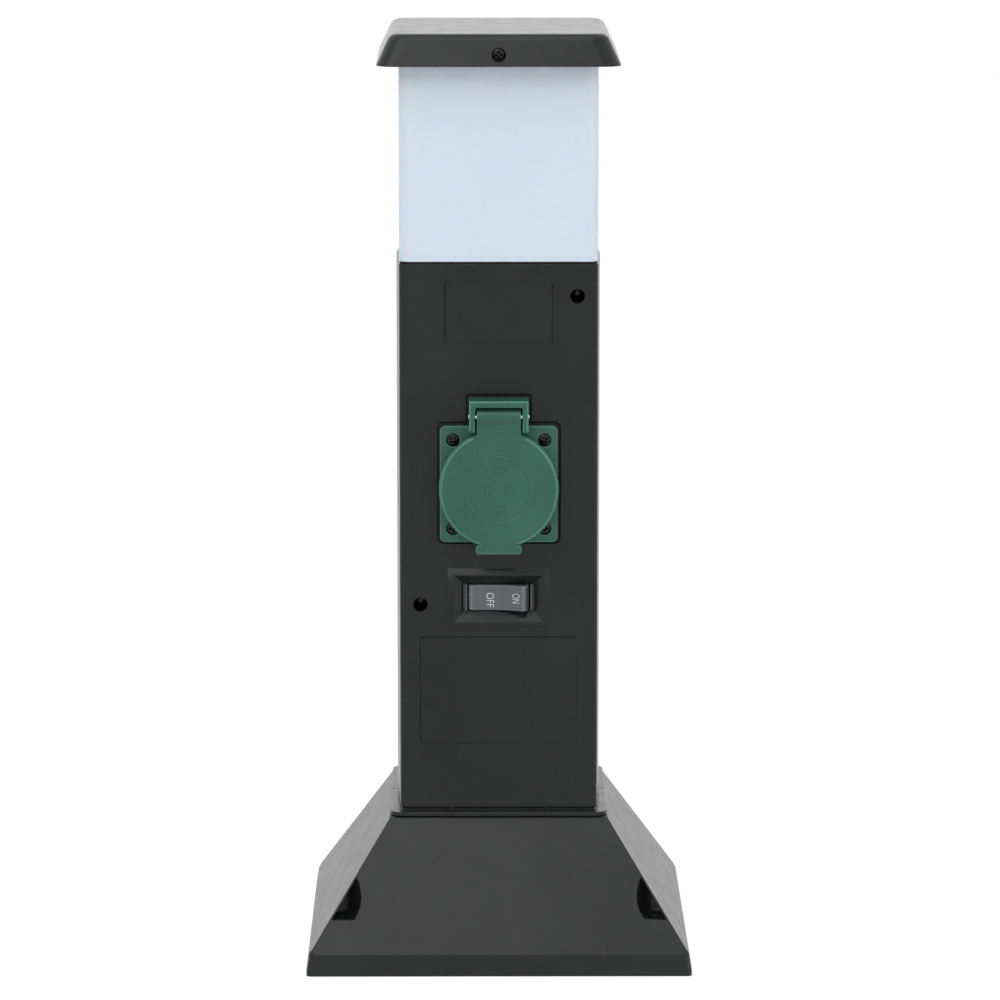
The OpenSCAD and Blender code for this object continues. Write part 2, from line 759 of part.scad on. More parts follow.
// Two brass sleeves that grip the plug's pins, each with a wire post behind
module contact_sleeves() color(brass) for (i = [-1, 1]) translate([i * plug_pitch / 2, 0, 0])
    difference() {
        union() {
            rod_y(0, socket_z, sleeve_front, carrier_back + 0.1, sleeve_out);
            box([-post_w / 2, carrier_back + 0.05, socket_z - post_w / 2],
                [post_w / 2, carrier_back + post_t, socket_z + post_w / 2]);
        }
        rod_y(0, socket_z, sleeve_front - past, carrier_back - sleeve_end_t, sleeve_r);
        rod_z(0, post_y, socket_z - post_w, socket_z + post_w, post_hole_r);
        rod_y(0, socket_z, post_y, carrier_back + post_t + past, clamp_r + snug);
    }

// Earth strap: two side clips in the well, joined by a bridge behind the carrier
module earth_strap() color(steel) difference() {
    union() {
        for (i = [-1, 1]) {
            translate([0, 0, socket_z + i * (strap_z + strap_t / 2)])
                box([-strap_w / 2, plate_front + strap_in, -strap_t / 2],
                    [strap_w / 2, strap_bridge_y + strap_bridge_t, strap_t / 2]);
            rod_x(plate_front + 2 * strap_in, socket_z + i * strap_z, strap_w, strap_bulge_r);
        }
        box([-strap_w / 2, strap_bridge_y, socket_z - strap_z - strap_t],
            [strap_w / 2, strap_bridge_y + strap_bridge_t, socket_z + strap_z + strap_t]);
        box([-earth_post_w / 2, strap_bridge_y, earth_end - earth_post_h / 2],
            [earth_post_w / 2, carrier_back + post_t, earth_end + earth_post_h / 2]);
    }
    rod_y(0, socket_z, carrier_back - past, strap_bridge_y + strap_bridge_t + past, screw_r + snug);
    rod_z(0, post_y, earth_end - earth_post_h, earth_end + earth_post_h, post_hole_r);
}

// Clamp screws of the two posts, and the screw that holds the earth strap
module contact_screws() color(steel) {
    for (i = [-1, 1]) difference() {
        union() {
            rod_y(i * plug_pitch / 2, socket_z, carrier_back + post_t + snug,
                carrier_back + post_t + clamp_head_t, clamp_head_r);
            rod_y(i * plug_pitch / 2, socket_z, post_y + post_hole_r,
                carrier_back + post_t + 2 * snug, clamp_r);
        }
        translate([i * plug_pitch / 2, 0, socket_z])
            box([-clamp_head_r, carrier_back + post_t + clamp_head_t / 2, -slot_w / 2],
                [clamp_head_r, carrier_back + post_t + clamp_head_t + past, slot_w / 2]);
    }
    rotate([0, 0, 180])
        screw_y(0, socket_z, -strap_bridge_y - strap_bridge_t - snug, strap_screw_len);
}

// Lid: a round cover with a hinge tab, a knuckle and a finger lip
module lid() color(green) difference() {
    union() {
        translate([0, lid_back, lid_z]) rotate([90, 0, 0]) rotate_extrude() polygon([
            [0, lid_t - lid_wall], [hollow_r, lid_t - lid_wall], [hollow_r, 0], [lid_r, 0],
            [lid_r, lid_t - lid_edge], [lid_r - lid_edge, lid_t], [0, lid_t]]);
        box([-tab_w / 2, lid_front, lid_z + hollow_r - past], [tab_w / 2, pin_y, pin_z]);
        rod_x(pin_y, pin_z, tab_w, knuckle_r);
        forward(lid_front + lip_t, lip_t) translate([0, lid_z - (hollow_r + lid_r + lip_drop) / 2])
            polygon(soft_rect(lip_w, lid_r + lip_drop - hollow_r, lip_r));
        emblem();
    }
    rod_x(pin_y, pin_z, tab_w + 2 * past, hinge_pin_r + snug);
    rod_x(pin_y, pin_z, spring_cut_w, spring_cut_r);
    box([-spring_cut_w / 2, pin_y, pin_z - knuckle_r - 0.5],
        [spring_cut_w / 2, pin_y + knuckle_r + past, pin_z + spring_cut_r]);
}

// Plain raised sign on the lid: a ring round two pins and two earth marks
module emblem() forward(lid_front + bite, emblem_t + bite) translate([0, lid_z]) {
    difference() {
        circle(r = emblem_r);
        circle(r = emblem_r - emblem_line);
    }
    for (i = [-1, 1]) {
        translate([i * 0.29 * emblem_r, 0]) circle(r = 2 * emblem_line);
        translate([0, i * 0.58 * emblem_r]) square([6, 2] * emblem_line, center = true);
    }
}

module lid_seal() color(rubber) difference() {
    rod_y(0, lid_z, seal_front, seal_back, hollow_r - snug);
    rod_y(0, lid_z, seal_front - past, seal_back + past, seal_in);
}

module hinge_pin() color(steel) rod_x(pin_y, pin_z, bracket_w + 1, hinge_pin_r);

// Points of a spline through the given points, with n steps for each stretch
function spline(p, n = 4) = let (last = len(p) - 1) concat([for (i = [0:last - 1], j = [0:n - 1])
    let (a = p[max(i - 1, 0)], b = p[i], c = p[i + 1], d = p[min(i + 2, last)], t = j / n)
    0.5 * ((2 * b) + (c - a) * t + (2 * a - 5 * b + 4 * c - d) * t * t
        + (3 * b - a - 3 * c + d) * t * t * t)], [p[last]]);

function unit(v) = v / norm(v);

// Side vector of each ring, carried along the path without twist
function carried(dirs, side, i = 0) = i == len(dirs) ? [] :
    let (s = unit(side - (side * dirs[i]) * dirs[i])) concat([s], carried(dirs, s, i + 1));

// Round tube along a path
module tube(path, r, sides = 8) {
    last = len(path) - 1;
    dirs = [for (i = [0:last]) unit(path[min(i + 1, last)] - path[max(i - 1, 0)])];
    start = abs(dirs[0][0]) < 0.8 ? [1, 0, 0] : [0, 1, 0];
    side = carried(dirs, start);
    points = [for (i = [0:last], k = [0:sides - 1])
        path[i] + r * (cos(360 * k / sides) * side[i] + sin(360 * k / sides) * cross(dirs[i], side[i]))];
    faces = concat(
        [[for (k = [0:sides - 1]) k]],
        [[for (k = [0:sides - 1]) last * sides + sides - 1 - k]],
        [for (i = [0:last - 1], k = [0:sides - 1]) each [
            [i * sides + k, (i + 1) * sides + k, i * sides + (k + 1) % sides],
            [i * sides + (k + 1) % sides, (i + 1) * sides + k, (i + 1) * sides + (k + 1) % sides]]]);
    polyhedron(points, faces);
}

// Torsion spring that closes the lid: seven turns round the pin and two straight legs
module lid_spring() color(steel) tube(concat(
    [[-spring_w / 2 + spring_in, plate_front - spring_wire - snug, pin_z - spring_leg]],
    [for (i = [0:spring_turns * spring_steps]) let (a = 360 * i / spring_steps)
        [-spring_w / 2 + spring_in + (spring_w - 2 * spring_in) * i / (spring_turns * spring_steps),
            pin_y + spring_mean * cos(a), pin_z + spring_mean * sin(a)]],
    [[spring_w / 2 - spring_in, pin_y + spring_mean + 0.2, pin_z - spring_mean]]), spring_wire, 6);

// Housing with a flange that seats behind the wall and a cheek at each end of the rocker
module switch_housing() color(rubber) difference() {
    union() {
        forward(seat_t - inner_d / 2, seat_t) translate([0, switch_z])
            square([seat_w, seat_h], center = true);
        forward(housing_floor + housing_floor_t, housing_floor + housing_floor_t - housing_y)
            translate([0, switch_z]) square([housing_w, housing_h], center = true);
        forward(housing_floor, housing_floor - cheek_y) translate([0, switch_z])
            square([housing_w, cheek_h], center = true);
    }
    forward(housing_floor, housing_floor - cheek_y + past) translate([0, switch_z])
        square([cavity_w, cavity_h], center = true);
    rod_z(0, rocker_y, switch_z - housing_h / 2 - gap, switch_z + housing_h / 2 + gap, pivot_r + snug);
    for (i = [-1, 0, 1]) translate([i * blade_x, 0, switch_z])
        box([-blade_t / 2 - snug, housing_floor - past, -blade_w / 2 - snug],
            [blade_t / 2 + snug, housing_floor + housing_floor_t + past, blade_w / 2 + snug]);
}

// Rocker in its rest place, with the left end pressed in
module rocker() color(grey) place_rocker() difference() {
    union() {
        intersection() {
            cylinder(h = rocker_h, r = rocker_r, center = true);
            linear_extrude(rocker_h + past, center = true) polygon(concat(
                [for (x = [-2:2]) [x * rocker_r / 2, -rocker_dip - (rocker_top - rocker_dip) * x * x / 4]],
                [[rocker_r, -1], [rocker_web, rocker_under], [-rocker_web, rocker_under],
                    [-rocker_r, -1]]));
        }
        cylinder(h = cavity_h + pivot_out, r = pivot_r, center = true);
    }
    rod_y(0, 0, 0, 2 * rocker_under, plunger_r + snug);
}

module place_rocker() translate([0, rocker_y, switch_z]) rotate([0, 0, -rocker_tilt]) children();

module switch_plunger() color(cream) place_rocker() {
    rod_y(0, 0, gap, plunger_tip - plunger_r, plunger_r);
    translate([0, plunger_tip - plunger_r, 0]) sphere(r = plunger_r);
}

// Contact see-saw under the plunger; it leans the other way
module switch_seesaw() color(brass) translate([0, seesaw_y, switch_z]) rotate([0, 0, seesaw_tilt]) {
    box([-seesaw_half, -seesaw_t, -seesaw_w / 2], [seesaw_half, 0, seesaw_w / 2]);
    for (i = [-1, 1]) rod_y(i * (seesaw_half - 1.5), 0, -snug, pip_h, pip_r);
}

module switch_terminals() color(brass) for (i = [-1, 0, 1]) {
    top = i == 0 ? seesaw_y + gap : seesaw_y + pip_h + gap + seesaw_half * sin(seesaw_tilt);
    box([i * blade_x - blade_t / 2, top, switch_z - blade_w / 2],
        [i * blade_x + blade_t / 2, blade_end, switch_z + blade_w / 2]);
}

module terminal_block() color(cream) difference() {
    box([-block_w / 2, block_front, block_z - block_h / 2],
        [block_w / 2, block_back, block_z + block_h / 2]);
    for (i = [-1, 0, 1]) {
        rod_z(i * pole_pitch, pole_y, block_z - block_h, block_z + block_h, barrel_out + snug);
        for (j = [-1, 1])
            rod_y(i * pole_pitch, block_z + pole_screw_z * j, block_front - past, pole_y,
                pole_head_r + snug);
    }
    for (i = [-1, 1]) {
        rod_y(i * block_screw_x, block_z, block_front - past, block_back + past, screw_r + snug);
        rod_y(i * block_screw_x, block_z, block_front - past, block_seat, head_r + gap / 2);
    }
}

module terminal_barrels() color(brass) for (i = [-1, 0, 1]) difference() {
    rod_z(i * pole_pitch, pole_y, block_z - barrel_h / 2, block_z + barrel_h / 2, barrel_out);
    rod_z(i * pole_pitch, pole_y, block_z - barrel_h, block_z + barrel_h, barrel_in);
    for (j = [-1, 1])
        rod_y(i * pole_pitch, block_z + pole_screw_z * j, block_front, pole_y, clamp_r + snug);
}

module terminal_screws() color(steel) for (i = [-1, 0, 1], j = [-1, 1]) difference() {
    union() {
        rod_y(i * pole_pitch, block_z + pole_screw_z * j, pole_screw_y, pole_screw_y + clamp_head_t,
            pole_head_r);
        rod_y(i * pole_pitch, block_z + pole_screw_z * j, pole_screw_y + clamp_head_t - bite,
            pole_y - wire_r - snug, clamp_r);
    }
    translate([i * pole_pitch, 0, block_z + pole_screw_z * j])
        box([-pole_head_r - past, pole_screw_y - past, -slot_w / 2],
            [pole_head_r + past, pole_screw_y + clamp_head_t / 2, slot_w / 2]);
}

module block_screws() color(steel) for (i = [-1, 1])
    screw_y(i * block_screw_x, block_z, block_seat, block_back + block_post_hole - gap - block_seat);

module lamp_deck() color(cream) difference() {
    upright(lamp_deck_z, lamp_deck_t) polygon(soft_rect(neck_w, neck_w, neck_r));
    corners(deck_screw_x, deck_screw_y) rod_z(0, 0, lamp_deck_z - past, neck_z + past, screw_r + snug);
    rod_z(0, 0, lamp_deck_z - past, neck_z + past, holder_r + gap);
}

module deck_screws() color(steel) corners(deck_screw_x, deck_screw_y)
    screw_z(0, 0, neck_z + neck_floor_t, neck_floor_t + lamp_deck_t + deck_boss_h - boss_cap_t - 3,
        false);

module lamp_holder() color(cream) difference() {
    union() {
        rod_z(0, 0, holder_bottom, neck_z + bite, holder_r);
        rod_z(0, 0, neck_z, neck_z + holder_rim_t, holder_rim_r);
    }
    rod_z(0, 0, holder_floor, neck_z + holder_rim_t + past, lamp_sleeve_r + 0.1);
    for (i = [-1, 1])
        rod_z(i * lamp_wire_x, 0, holder_bottom - past, lamp_wire_z + gap, post_hole_r);
}

module holder_nut() color(cream) difference() {
    rod_z(0, 0, lamp_deck_z - holder_nut_t, lamp_deck_z, holder_rim_r - bite);
    rod_z(0, 0, lamp_deck_z - holder_nut_t - past, lamp_deck_z + past, holder_r + snug);
}

module lamp_sleeve() color(brass) difference() {
    rod_z(0, 0, holder_floor + 2, neck_z, lamp_sleeve_r);
    rod_z(0, 0, holder_floor, neck_z + past, lamp_sleeve_r - lamp_sleeve_t);
}

module lamp_contact() color(brass) {
    rod_z(0, 0, holder_floor, holder_floor + contact_t, contact_r);
    rod_z(0, 0, holder_floor, cap_z - cap_tip_h - gap, contact_tip_r);
}

module bulb_cap() color(steel) {
    rod_z(0, 0, cap_z, cap_top, cap_r);
    translate([0, 0, cap_z - cap_tip_h]) cylinder(h = cap_tip_h + snug, r1 = 0.3 * cap_r, r2 = 0.68 * cap_r);
}

module bulb_globe() color(opal) translate([0, 0, cap_top]) rotate_extrude() intersection() {
    union() {
        translate([0, globe_z - cap_top]) circle(r = globe_r);
        polygon([[0, 0], [cap_r - 0.6, 0], [cap_r - 0.2, bulb_neck_h],
            [globe_r * cos(34), globe_z - cap_top - globe_r * sin(34)], [0, globe_z - cap_top]]);
    }
    square([globe_r + past, globe_z - cap_top + globe_r + past]);
}

// Opal diffuser: a square tube with a shoulder, and a neck that drops into the pillar
module diffuser() color(opal) {
    difference() {
        upright(diffuser_z, diffuser_top - diffuser_z)
            polygon(soft_rect(diffuser_w, diffuser_w, diffuser_r));
        upright(diffuser_z + diffuser_wall, diffuser_top - diffuser_z)
            polygon(soft_rect(diffuser_w - 2 * diffuser_wall, diffuser_w - 2 * diffuser_wall,
                diffuser_r - diffuser_wall / 2));
        upright(diffuser_z - past, diffuser_wall + 2 * past) polygon(soft_rect(neck_in, neck_in, 2));
        for (t = [0, 180]) rotate([0, 0, t])
            rod_y(0, roof_screw_z, -diffuser_w / 2 - past, roof_pad_back - past, screw_r + snug);
    }
    difference() {
        upright(neck_z, diffuser_z - neck_z + bite) polygon(soft_rect(neck_w, neck_w, neck_r));
        upright(neck_z + neck_floor_t, diffuser_z - neck_z + past)
            polygon(soft_rect(neck_in, neck_in, neck_r - 1));
        upright(neck_z - past, neck_floor_t + 2 * past) polygon(soft_rect(neck_hole, neck_hole, 6));
        corners(deck_screw_x, deck_screw_y)
            rod_z(0, 0, neck_z - past, neck_z + neck_floor_t + past, screw_r + snug);
    }
    for (t = [0, 180]) rotate([0, 0, t]) difference() {
        rod_y(0, roof_screw_z, -diffuser_w / 2 + diffuser_wall - bite, roof_pad_back, roof_pad_r);
        rod_y(0, roof_screw_z, -diffuser_w / 2, roof_pad_back + past, screw_r + snug);
    }
}

module diffuser_gasket() color(rubber) upright(shell_top, gasket_t) difference() {
    polygon(soft_rect(diffuser_w - 0.8, diffuser_w - 0.8, diffuser_r));
    polygon(soft_rect(neck_w + gap, neck_w + gap, neck_r));
}

// Solid hipped block with round corners, drawn in by an inset
module roof_block(inset, low, top, r) hull() {
    rate = roof_lean / roof_h;
    half = roof_w / 2 - inset - rate * (low - roof_z);
    upright(low, 0.01) polygon(soft_rect(2 * half, 2 * half, roof_corner_r - inset / 2));
    for (a = [0:15:75]) let (
        z = top - r + r * sin(a),
        w = roof_w / 2 - inset - rate * (top - r - roof_z) - r * (1 - cos(a))
    ) upright(z, 0.01) polygon(soft_rect(2 * w, 2 * w, roof_corner_r - inset / 2 - 1));
    w = roof_w / 2 - inset - rate * (top - r - roof_z) - r;
    upright(top - 0.01, 0.01) polygon(soft_rect(2 * w, 2 * w, 2));
}

module roof_cap() color(black) difference() {
    union() {
        difference() {
            roof_block(0, roof_z, roof_z + roof_h, roof_edge_r);
            roof_block(roof_wall, roof_z - past, roof_inner_top, 1);
        }
        for (t = [0, 180]) rotate([0, 0, t])
            rod_y(0, roof_screw_z, -roof_face + roof_wall / 2, -diffuser_w / 2 - gap, boss_r + 0.2);
    }
    for (t = [0, 180]) rotate([0, 0, t]) {
        rod_y(0, roof_screw_z, -roof_w / 2 - past, -roof_seat, head_r + gap);
        rod_y(0, roof_screw_z, -roof_w / 2, -diffuser_w / 2, screw_r + snug);
    }
}

module roof_gasket() color(rubber) upright(diffuser_top, roof_inner_top - diffuser_top) difference() {
    polygon(soft_rect(diffuser_w - bite, diffuser_w - bite, diffuser_r));
    polygon(soft_rect(diffuser_w - bite - 2 * roof_gasket_w, diffuser_w - bite - 2 * roof_gasket_w,
        diffuser_r - 1));
}

module roof_screws() color(rubber) for (t = [0, 180])
    screw_y(0, roof_screw_z, -roof_seat, roof_seat + roof_pad_back - past - gap, t);

module gland_body() color(rubber) difference() {
    union() {
        rod_z(0, 0, gland_z - gland_hex_t, gland_top, gland_r - snug);
        translate([0, 0, gland_z - gland_hex_t]) cylinder(h = gland_hex_t, r = gland_hex_r, $fn = 6);
        rod_z(0, 0, gland_low, gland_z - gland_hex_t + bite, gland_low_r);
    }
    rod_z(0, 0, gland_low - past, gland_top + past, gland_bore);
    rod_z(0, 0, gland_low - past, gland_low + gland_seal_h + gap, seal_r + snug);
}

module gland_locknut() color(rubber) difference() {
    translate([0, 0, base_h]) cylinder(h = locknut_t, r = gland_hex_r, $fn = 6);
    rod_z(0, 0, base_h - past, base_h + locknut_t + past, gland_r);
}

module gland_seal() color(grey) difference() {
    rod_z(0, 0, gland_low + 0.1, gland_low + 0.1 + gland_seal_h, seal_r);
    rod_z(0, 0, gland_low - past, gland_low + gland_seal_h + past, cable_r);
}

module gland_nut() color(rubber) difference() {
    union() {
        translate([0, 0, gland_low]) cylinder(h = gland_nut_h, r = gland_hex_r, $fn = 6);
        translate([0, 0, gland_low - gland_cone_h])
            cylinder(h = gland_cone_h + bite, r1 = gland_bore + 2, r2 = gland_r + 1.4);
    }
    rod_z(0, 0, gland_low, gland_low + gland_nut_h + past, gland_low_r + snug);
    rod_z(0, 0, gland_low - gland_cone_h - past, gland_low + past, gland_bore - bite);
}

module live_wires() color("saddlebrown") {
    tube(spline([[-pole_pitch, pole_y, block_top], [-pole_pitch, pole_y, block_top + 12],
        [-14, 16, switch_z + 4], [-11, -1, socket_z - 18], [-plug_pitch / 2, post_y, socket_z - 7],
        [-plug_pitch / 2, post_y, post_low]]), wire_r);
    tube(spline([[-plug_pitch / 2, post_y, post_high], [-plug_pitch / 2, post_y, socket_z + 7],
        [-20, 3, socket_z + 11], [-27, 9, socket_z - 6], [-24, 7, socket_z - 30],
        [-blade_x - 1, switch_wire_y + 9, switch_z + 2], [-blade_x, switch_wire_y, switch_z]]), wire_r);
    tube(spline([[blade_x, switch_wire_y, switch_z], [blade_x + 1, switch_wire_y + 9, switch_z + 2],
        [24, 7, switch_z + 20], [27, 9, socket_z], [18, 7, socket_z + 32],
        [lamp_wire_x + 1, 1, lamp_wire_start], [lamp_wire_x, 0, lamp_wire_low],
        [lamp_wire_x, 0, lamp_wire_z]]), wire_r);
}

module neutral_wires() color("royalblue") {
    tube(spline([[pole_pitch, pole_y, block_top], [pole_pitch, pole_y, block_top + 12],
        [14, 18, switch_z + 4], [11, -1, socket_z - 18], [plug_pitch / 2, post_y, socket_z - 7],
        [plug_pitch / 2, post_y, post_low]]), wire_r);
    tube(spline([[plug_pitch / 2, post_y, post_high], [plug_pitch / 2, post_y, socket_z + 8],
        [3, 3, socket_z + 24], [-lamp_wire_x, 1, lamp_wire_start],
        [-lamp_wire_x, 0, lamp_wire_low], [-lamp_wire_x, 0, lamp_wire_z]]), wire_r);
}

module earth_wire() color("yellowgreen")
    tube(spline([[0, pole_y, block_top], [0, pole_y, block_top + 12], [0, 19, switch_z + 4],
        [0, 4, socket_z - 30], [0, post_y, socket_z - 16], [0, post_y, socket_z - 11],
        [0, post_y, earth_end]]), wire_r);

base();
front_shell();
rear_shell();
shell_screws();
foot_screws();
socket_body();
socket_gasket();
plate_screws();
contact_carrier();
contact_sleeves();
earth_strap();
contact_screws();
lid();
lid_seal();
hinge_pin();
lid_spring();
switch_housing();
rocker();
switch_plunger();
switch_seesaw();
switch_terminals();
terminal_block();
terminal_barrels();
terminal_screws();
block_screws();
lamp_deck();
deck_screws();
lamp_holder();
holder_nut();
lamp_sleeve();
lamp_contact();
bulb_cap();
bulb_globe();
diffuser();
diffuser_gasket();
roof_cap();
roof_gasket();
roof_screws();
gland_body();
gland_locknut();
gland_seal();
gland_nut();
live_wires();
neutral_wires();
earth_wire();
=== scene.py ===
"""Looks of a garden power post, built round its packed frame.

Every visible piece is made or finished here: softened mouldings, a lofted roof, a turned bulb,
a rocker with its lettering, screws with cross recesses, a wound spring, and a procedural
material on each of them.
"""

import json
import math

import bmesh
import bpy
from mathutils import Matrix, Vector, kdtree
from mathutils.bvhtree import BVHTree


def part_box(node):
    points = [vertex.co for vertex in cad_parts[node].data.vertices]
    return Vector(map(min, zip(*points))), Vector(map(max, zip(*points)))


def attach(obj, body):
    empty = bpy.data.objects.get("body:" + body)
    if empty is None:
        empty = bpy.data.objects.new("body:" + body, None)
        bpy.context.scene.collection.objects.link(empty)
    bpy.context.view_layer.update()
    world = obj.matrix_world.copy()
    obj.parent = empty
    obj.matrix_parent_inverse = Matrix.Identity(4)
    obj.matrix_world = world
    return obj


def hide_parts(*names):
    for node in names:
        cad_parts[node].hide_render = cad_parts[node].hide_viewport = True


bl_info = {
    "name": "Garden Power Post",
    "version": (1, 0, 0),
    "blender": (4, 5, 0),
    "location": "View3D > Sidebar > Power Post",
    "description": "Dresses the packed frame of a garden power post",
    "category": "Add Mesh",
}

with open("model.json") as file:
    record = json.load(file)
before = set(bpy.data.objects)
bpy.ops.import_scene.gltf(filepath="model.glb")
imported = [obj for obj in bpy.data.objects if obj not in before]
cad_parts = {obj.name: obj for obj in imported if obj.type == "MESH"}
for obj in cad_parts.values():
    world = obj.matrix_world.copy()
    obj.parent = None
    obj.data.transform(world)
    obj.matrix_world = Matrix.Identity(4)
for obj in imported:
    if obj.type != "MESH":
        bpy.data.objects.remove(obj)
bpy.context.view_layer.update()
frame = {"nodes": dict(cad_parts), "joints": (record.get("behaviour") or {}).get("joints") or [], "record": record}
JOINTS = {joint["name"]: joint for joint in frame["joints"]}
FINISHES = {}
MM = 0.001
WELD = 0.002 * MM
LEVEL = 0.01 * MM
FRONT = Vector((0, -1, 0))
UP = Vector((0, 0, 1))


# Sizes and colours that a user would change


def length(name, description, default, least=0.0):
    """A size setting, in metres."""
    return bpy.props.FloatProperty(
        name=name, description=description, default=default, min=least, unit="LENGTH")


def colour(name, description, default):
    """A colour setting, as linear values."""
    return bpy.props.FloatVectorProperty(
        name=name, description=description, default=default, subtype="COLOR", size=3, min=0, max=1)


def spot(name, description, default):
    """A place setting, in metres."""
    return bpy.props.FloatVectorProperty(
        name=name, description=description, default=default, subtype="XYZ", unit="LENGTH")


def strength(name, description, default):
    """A light's setting."""
    return bpy.props.FloatProperty(name=name, description=description, default=default, min=0)


class MouldingSettings(bpy.types.PropertyGroup):
    """Rounding of the moulded pieces."""

    hip_radius: length("Hip radius", "Rounding of the base's four hips", 1.3 * MM)
    skirt_radius: length("Skirt radius", "Rounding of the skirt's upright corners", 2.4 * MM)
    edge_radius: length("Edge radius", "Rounding of the base's and the shells' edges", 0.35 * MM)
    socket_radius: length("Socket radius", "Rounding of the hinge bracket's front", 0.7 * MM)
    lid_radius: length("Lid radius", "Rounding of the lid's edges", 0.36 * MM)
    case_radius: length("Case radius", "Rounding of switch housing and diffuser", 0.3 * MM)
    seal_radius: length("Seal radius", "Rounding of the lid's seal", 0.2 * MM)
    wiring_radius: length("Wiring radius", "Rounding of terminal block and gland", 0.16 * MM)
    inner_radius: length("Inner radius", "Rounding of contacts, holder and gaskets", 0.1 * MM)
    edge_steps: bpy.props.IntProperty(
        name="Edge steps", description="Faces across a rounded edge", default=3, min=1, max=6)


class LampSettings(bpy.types.PropertyGroup):
    """Sizes of the roof and the bulb."""

    roof_corner: length("Roof corner", "Plan radius of the roof's four hips", 8 * MM)
    roof_edge: length("Roof edge", "Radius of the edge round the roof's top", 4.4 * MM)
    roof_lean: length("Roof lean", "How far each side of the roof leans in", 6.1 * MM)
    roof_wall: length("Roof wall", "Wall of the roof", 2.4 * MM)
    roof_lip: length("Roof lip", "Rounding of the roof's lower edge", 0.4 * MM)
    boss_radius: length("Boss radius", "Radius of the bosses behind the roof's screws", 4.2 * MM)
    bulb_neck: length("Bulb neck", "Radius of the bulb's neck", 13 * MM)
    thread_pitch: length("Thread pitch", "Pitch of the bulb's rolled thread", 3.6 * MM, MM)
    thread_depth: length("Thread depth", "Depth of the bulb's rolled thread", 0.9 * MM)


class SwitchSettings(bpy.types.PropertyGroup):
    """Sizes of the rocker and its lettering."""

    rocker_radius: length(
        "Rocker radius", "Radius of the rocker's ends round its pivot", 13.2 * MM)
    rocker_width: length("Rocker width", "Width of the rocker along its pivot", 11.2 * MM)
    end_height: length("End height", "Height of the rocker's ends above its pivot", 6.2 * MM)
    middle_height: length(
        "Middle height", "Height of the rocker's middle above its pivot", 3.7 * MM)
    foot_width: length("Foot width", "Width of the rocker's flat underside", 8 * MM)
    foot_depth: length("Foot depth", "Depth of the underside below the pivot", 2.6 * MM)
    pivot_radius: length("Pivot radius", "Radius of the rocker's pivot pins", 1.2 * MM)
    rim: length("Rim", "Rounding of the rim round the rocker's front", 0.8 * MM)
    letter_height: length("Letter height", "Height of the capitals on the rocker", 3.3 * MM)
    letter_pitch: length("Letter pitch", "Length of a word for each of its letters", 2.1 * MM)
    letter_top: length("Letter top", "Where both words start, above the pivot", 2.1 * MM, -1)
    off_place: length("OFF", "Sideways place of the word OFF", -3.1 * MM, -1)
    on_place: length("ON", "Sideways place of the word ON", 8.1 * MM, -1)


class ScrewSettings(bpy.types.PropertyGroup):
    """Sizes of the screws."""

    shank_radius: length("Shank radius", "Outer radius of the screws' threads", 1.45 * MM)
    head_height: length("Head height", "Height of the pan heads", 2.1 * MM)
    head_rim: length("Head rim", "Rounding of the pan heads' edge", 0.75 * MM)
    recess_depth: length("Recess depth", "Depth of the cross recess", 1.5 * MM)
    pitch: length("Pitch", "Pitch of the screws' threads", 1.2 * MM, 0.3 * MM)
    thread_depth: length("Thread depth", "Depth of the screws' threads", 0.32 * MM)
    tip: length("Tip", "Plain end of the shank", 1.5 * MM)


class FinishSettings(bpy.types.PropertyGroup):
    """Colours of the finishes, as linear values."""

    black: colour("Black plastic", "Moulded black of the post", (0.0150, 0.0156, 0.0164))
    dark: colour("Dark plastic", "Switch housing and cable gland", (0.0170, 0.0172, 0.0178))
    # Lighter copy of the dark plastic, a painted highlight on the housing's rounded edges.
    dark_edge: colour("Dark edges", "Rounded edges of the housing", (0.119, 0.1204, 0.1246))
    green: colour("Green plastic", "Socket and lid", (0.030, 0.118, 0.084))
    # Lighter copy of the green plastic, a painted highlight on the rounded edges of socket and lid.
    green_edge: colour("Green edges", "Rounded edges of socket and lid", (0.057, 0.2242, 0.1596))
    grey: colour("Grey plastic", "Rocker", (0.096, 0.099, 0.103))
    # Lighter copy of the grey plastic, a painted highlight on the rocker's rounded rim.
    grey_edge: colour("Grey edges", "Rounded rim of the rocker", (0.144, 0.1485, 0.1545))
    cream: colour("Cream plastic", "Carrier, block, deck and lamp holder", (0.72, 0.68, 0.58))
    opal: colour("Opal plastic", "Diffuser", (0.70, 0.795, 0.89))
    globe: colour("Opal glass", "Bulb", (0.85, 0.85, 0.82))
    rubber: colour("Black rubber", "Gaskets and the lid's seal", (0.012, 0.012, 0.012))
    grey_rubber: colour("Grey rubber", "Seal of the cable gland", (0.07, 0.07, 0.07))
    black_steel: colour("Black steel", "Screws that show outside", (0.034, 0.031, 0.032))
    steel: colour("Steel", "Pin, spring and inner screws", (0.62, 0.62, 0.63))
    aluminium: colour("Aluminium", "Screw cap of the bulb", (0.78, 0.78, 0.79))
    brass: colour("Brass", "Contacts, terminals and lamp sleeve", (0.76, 0.54, 0.2))
    brown: colour("Brown cover", "Live wires", (0.1, 0.035, 0.012))
    blue: colour("Blue cover", "Neutral wires", (0.02, 0.1, 0.42))
    earth_green: colour("Earth green", "Ground colour of the earth wire", (0.08, 0.3, 0.05))
    earth_yellow: colour("Earth yellow", "Bands of the earth wire", (0.75, 0.62, 0.04))
    letter: colour("Lettering", "Printed words on the rocker", (0.60, 0.60, 0.62))


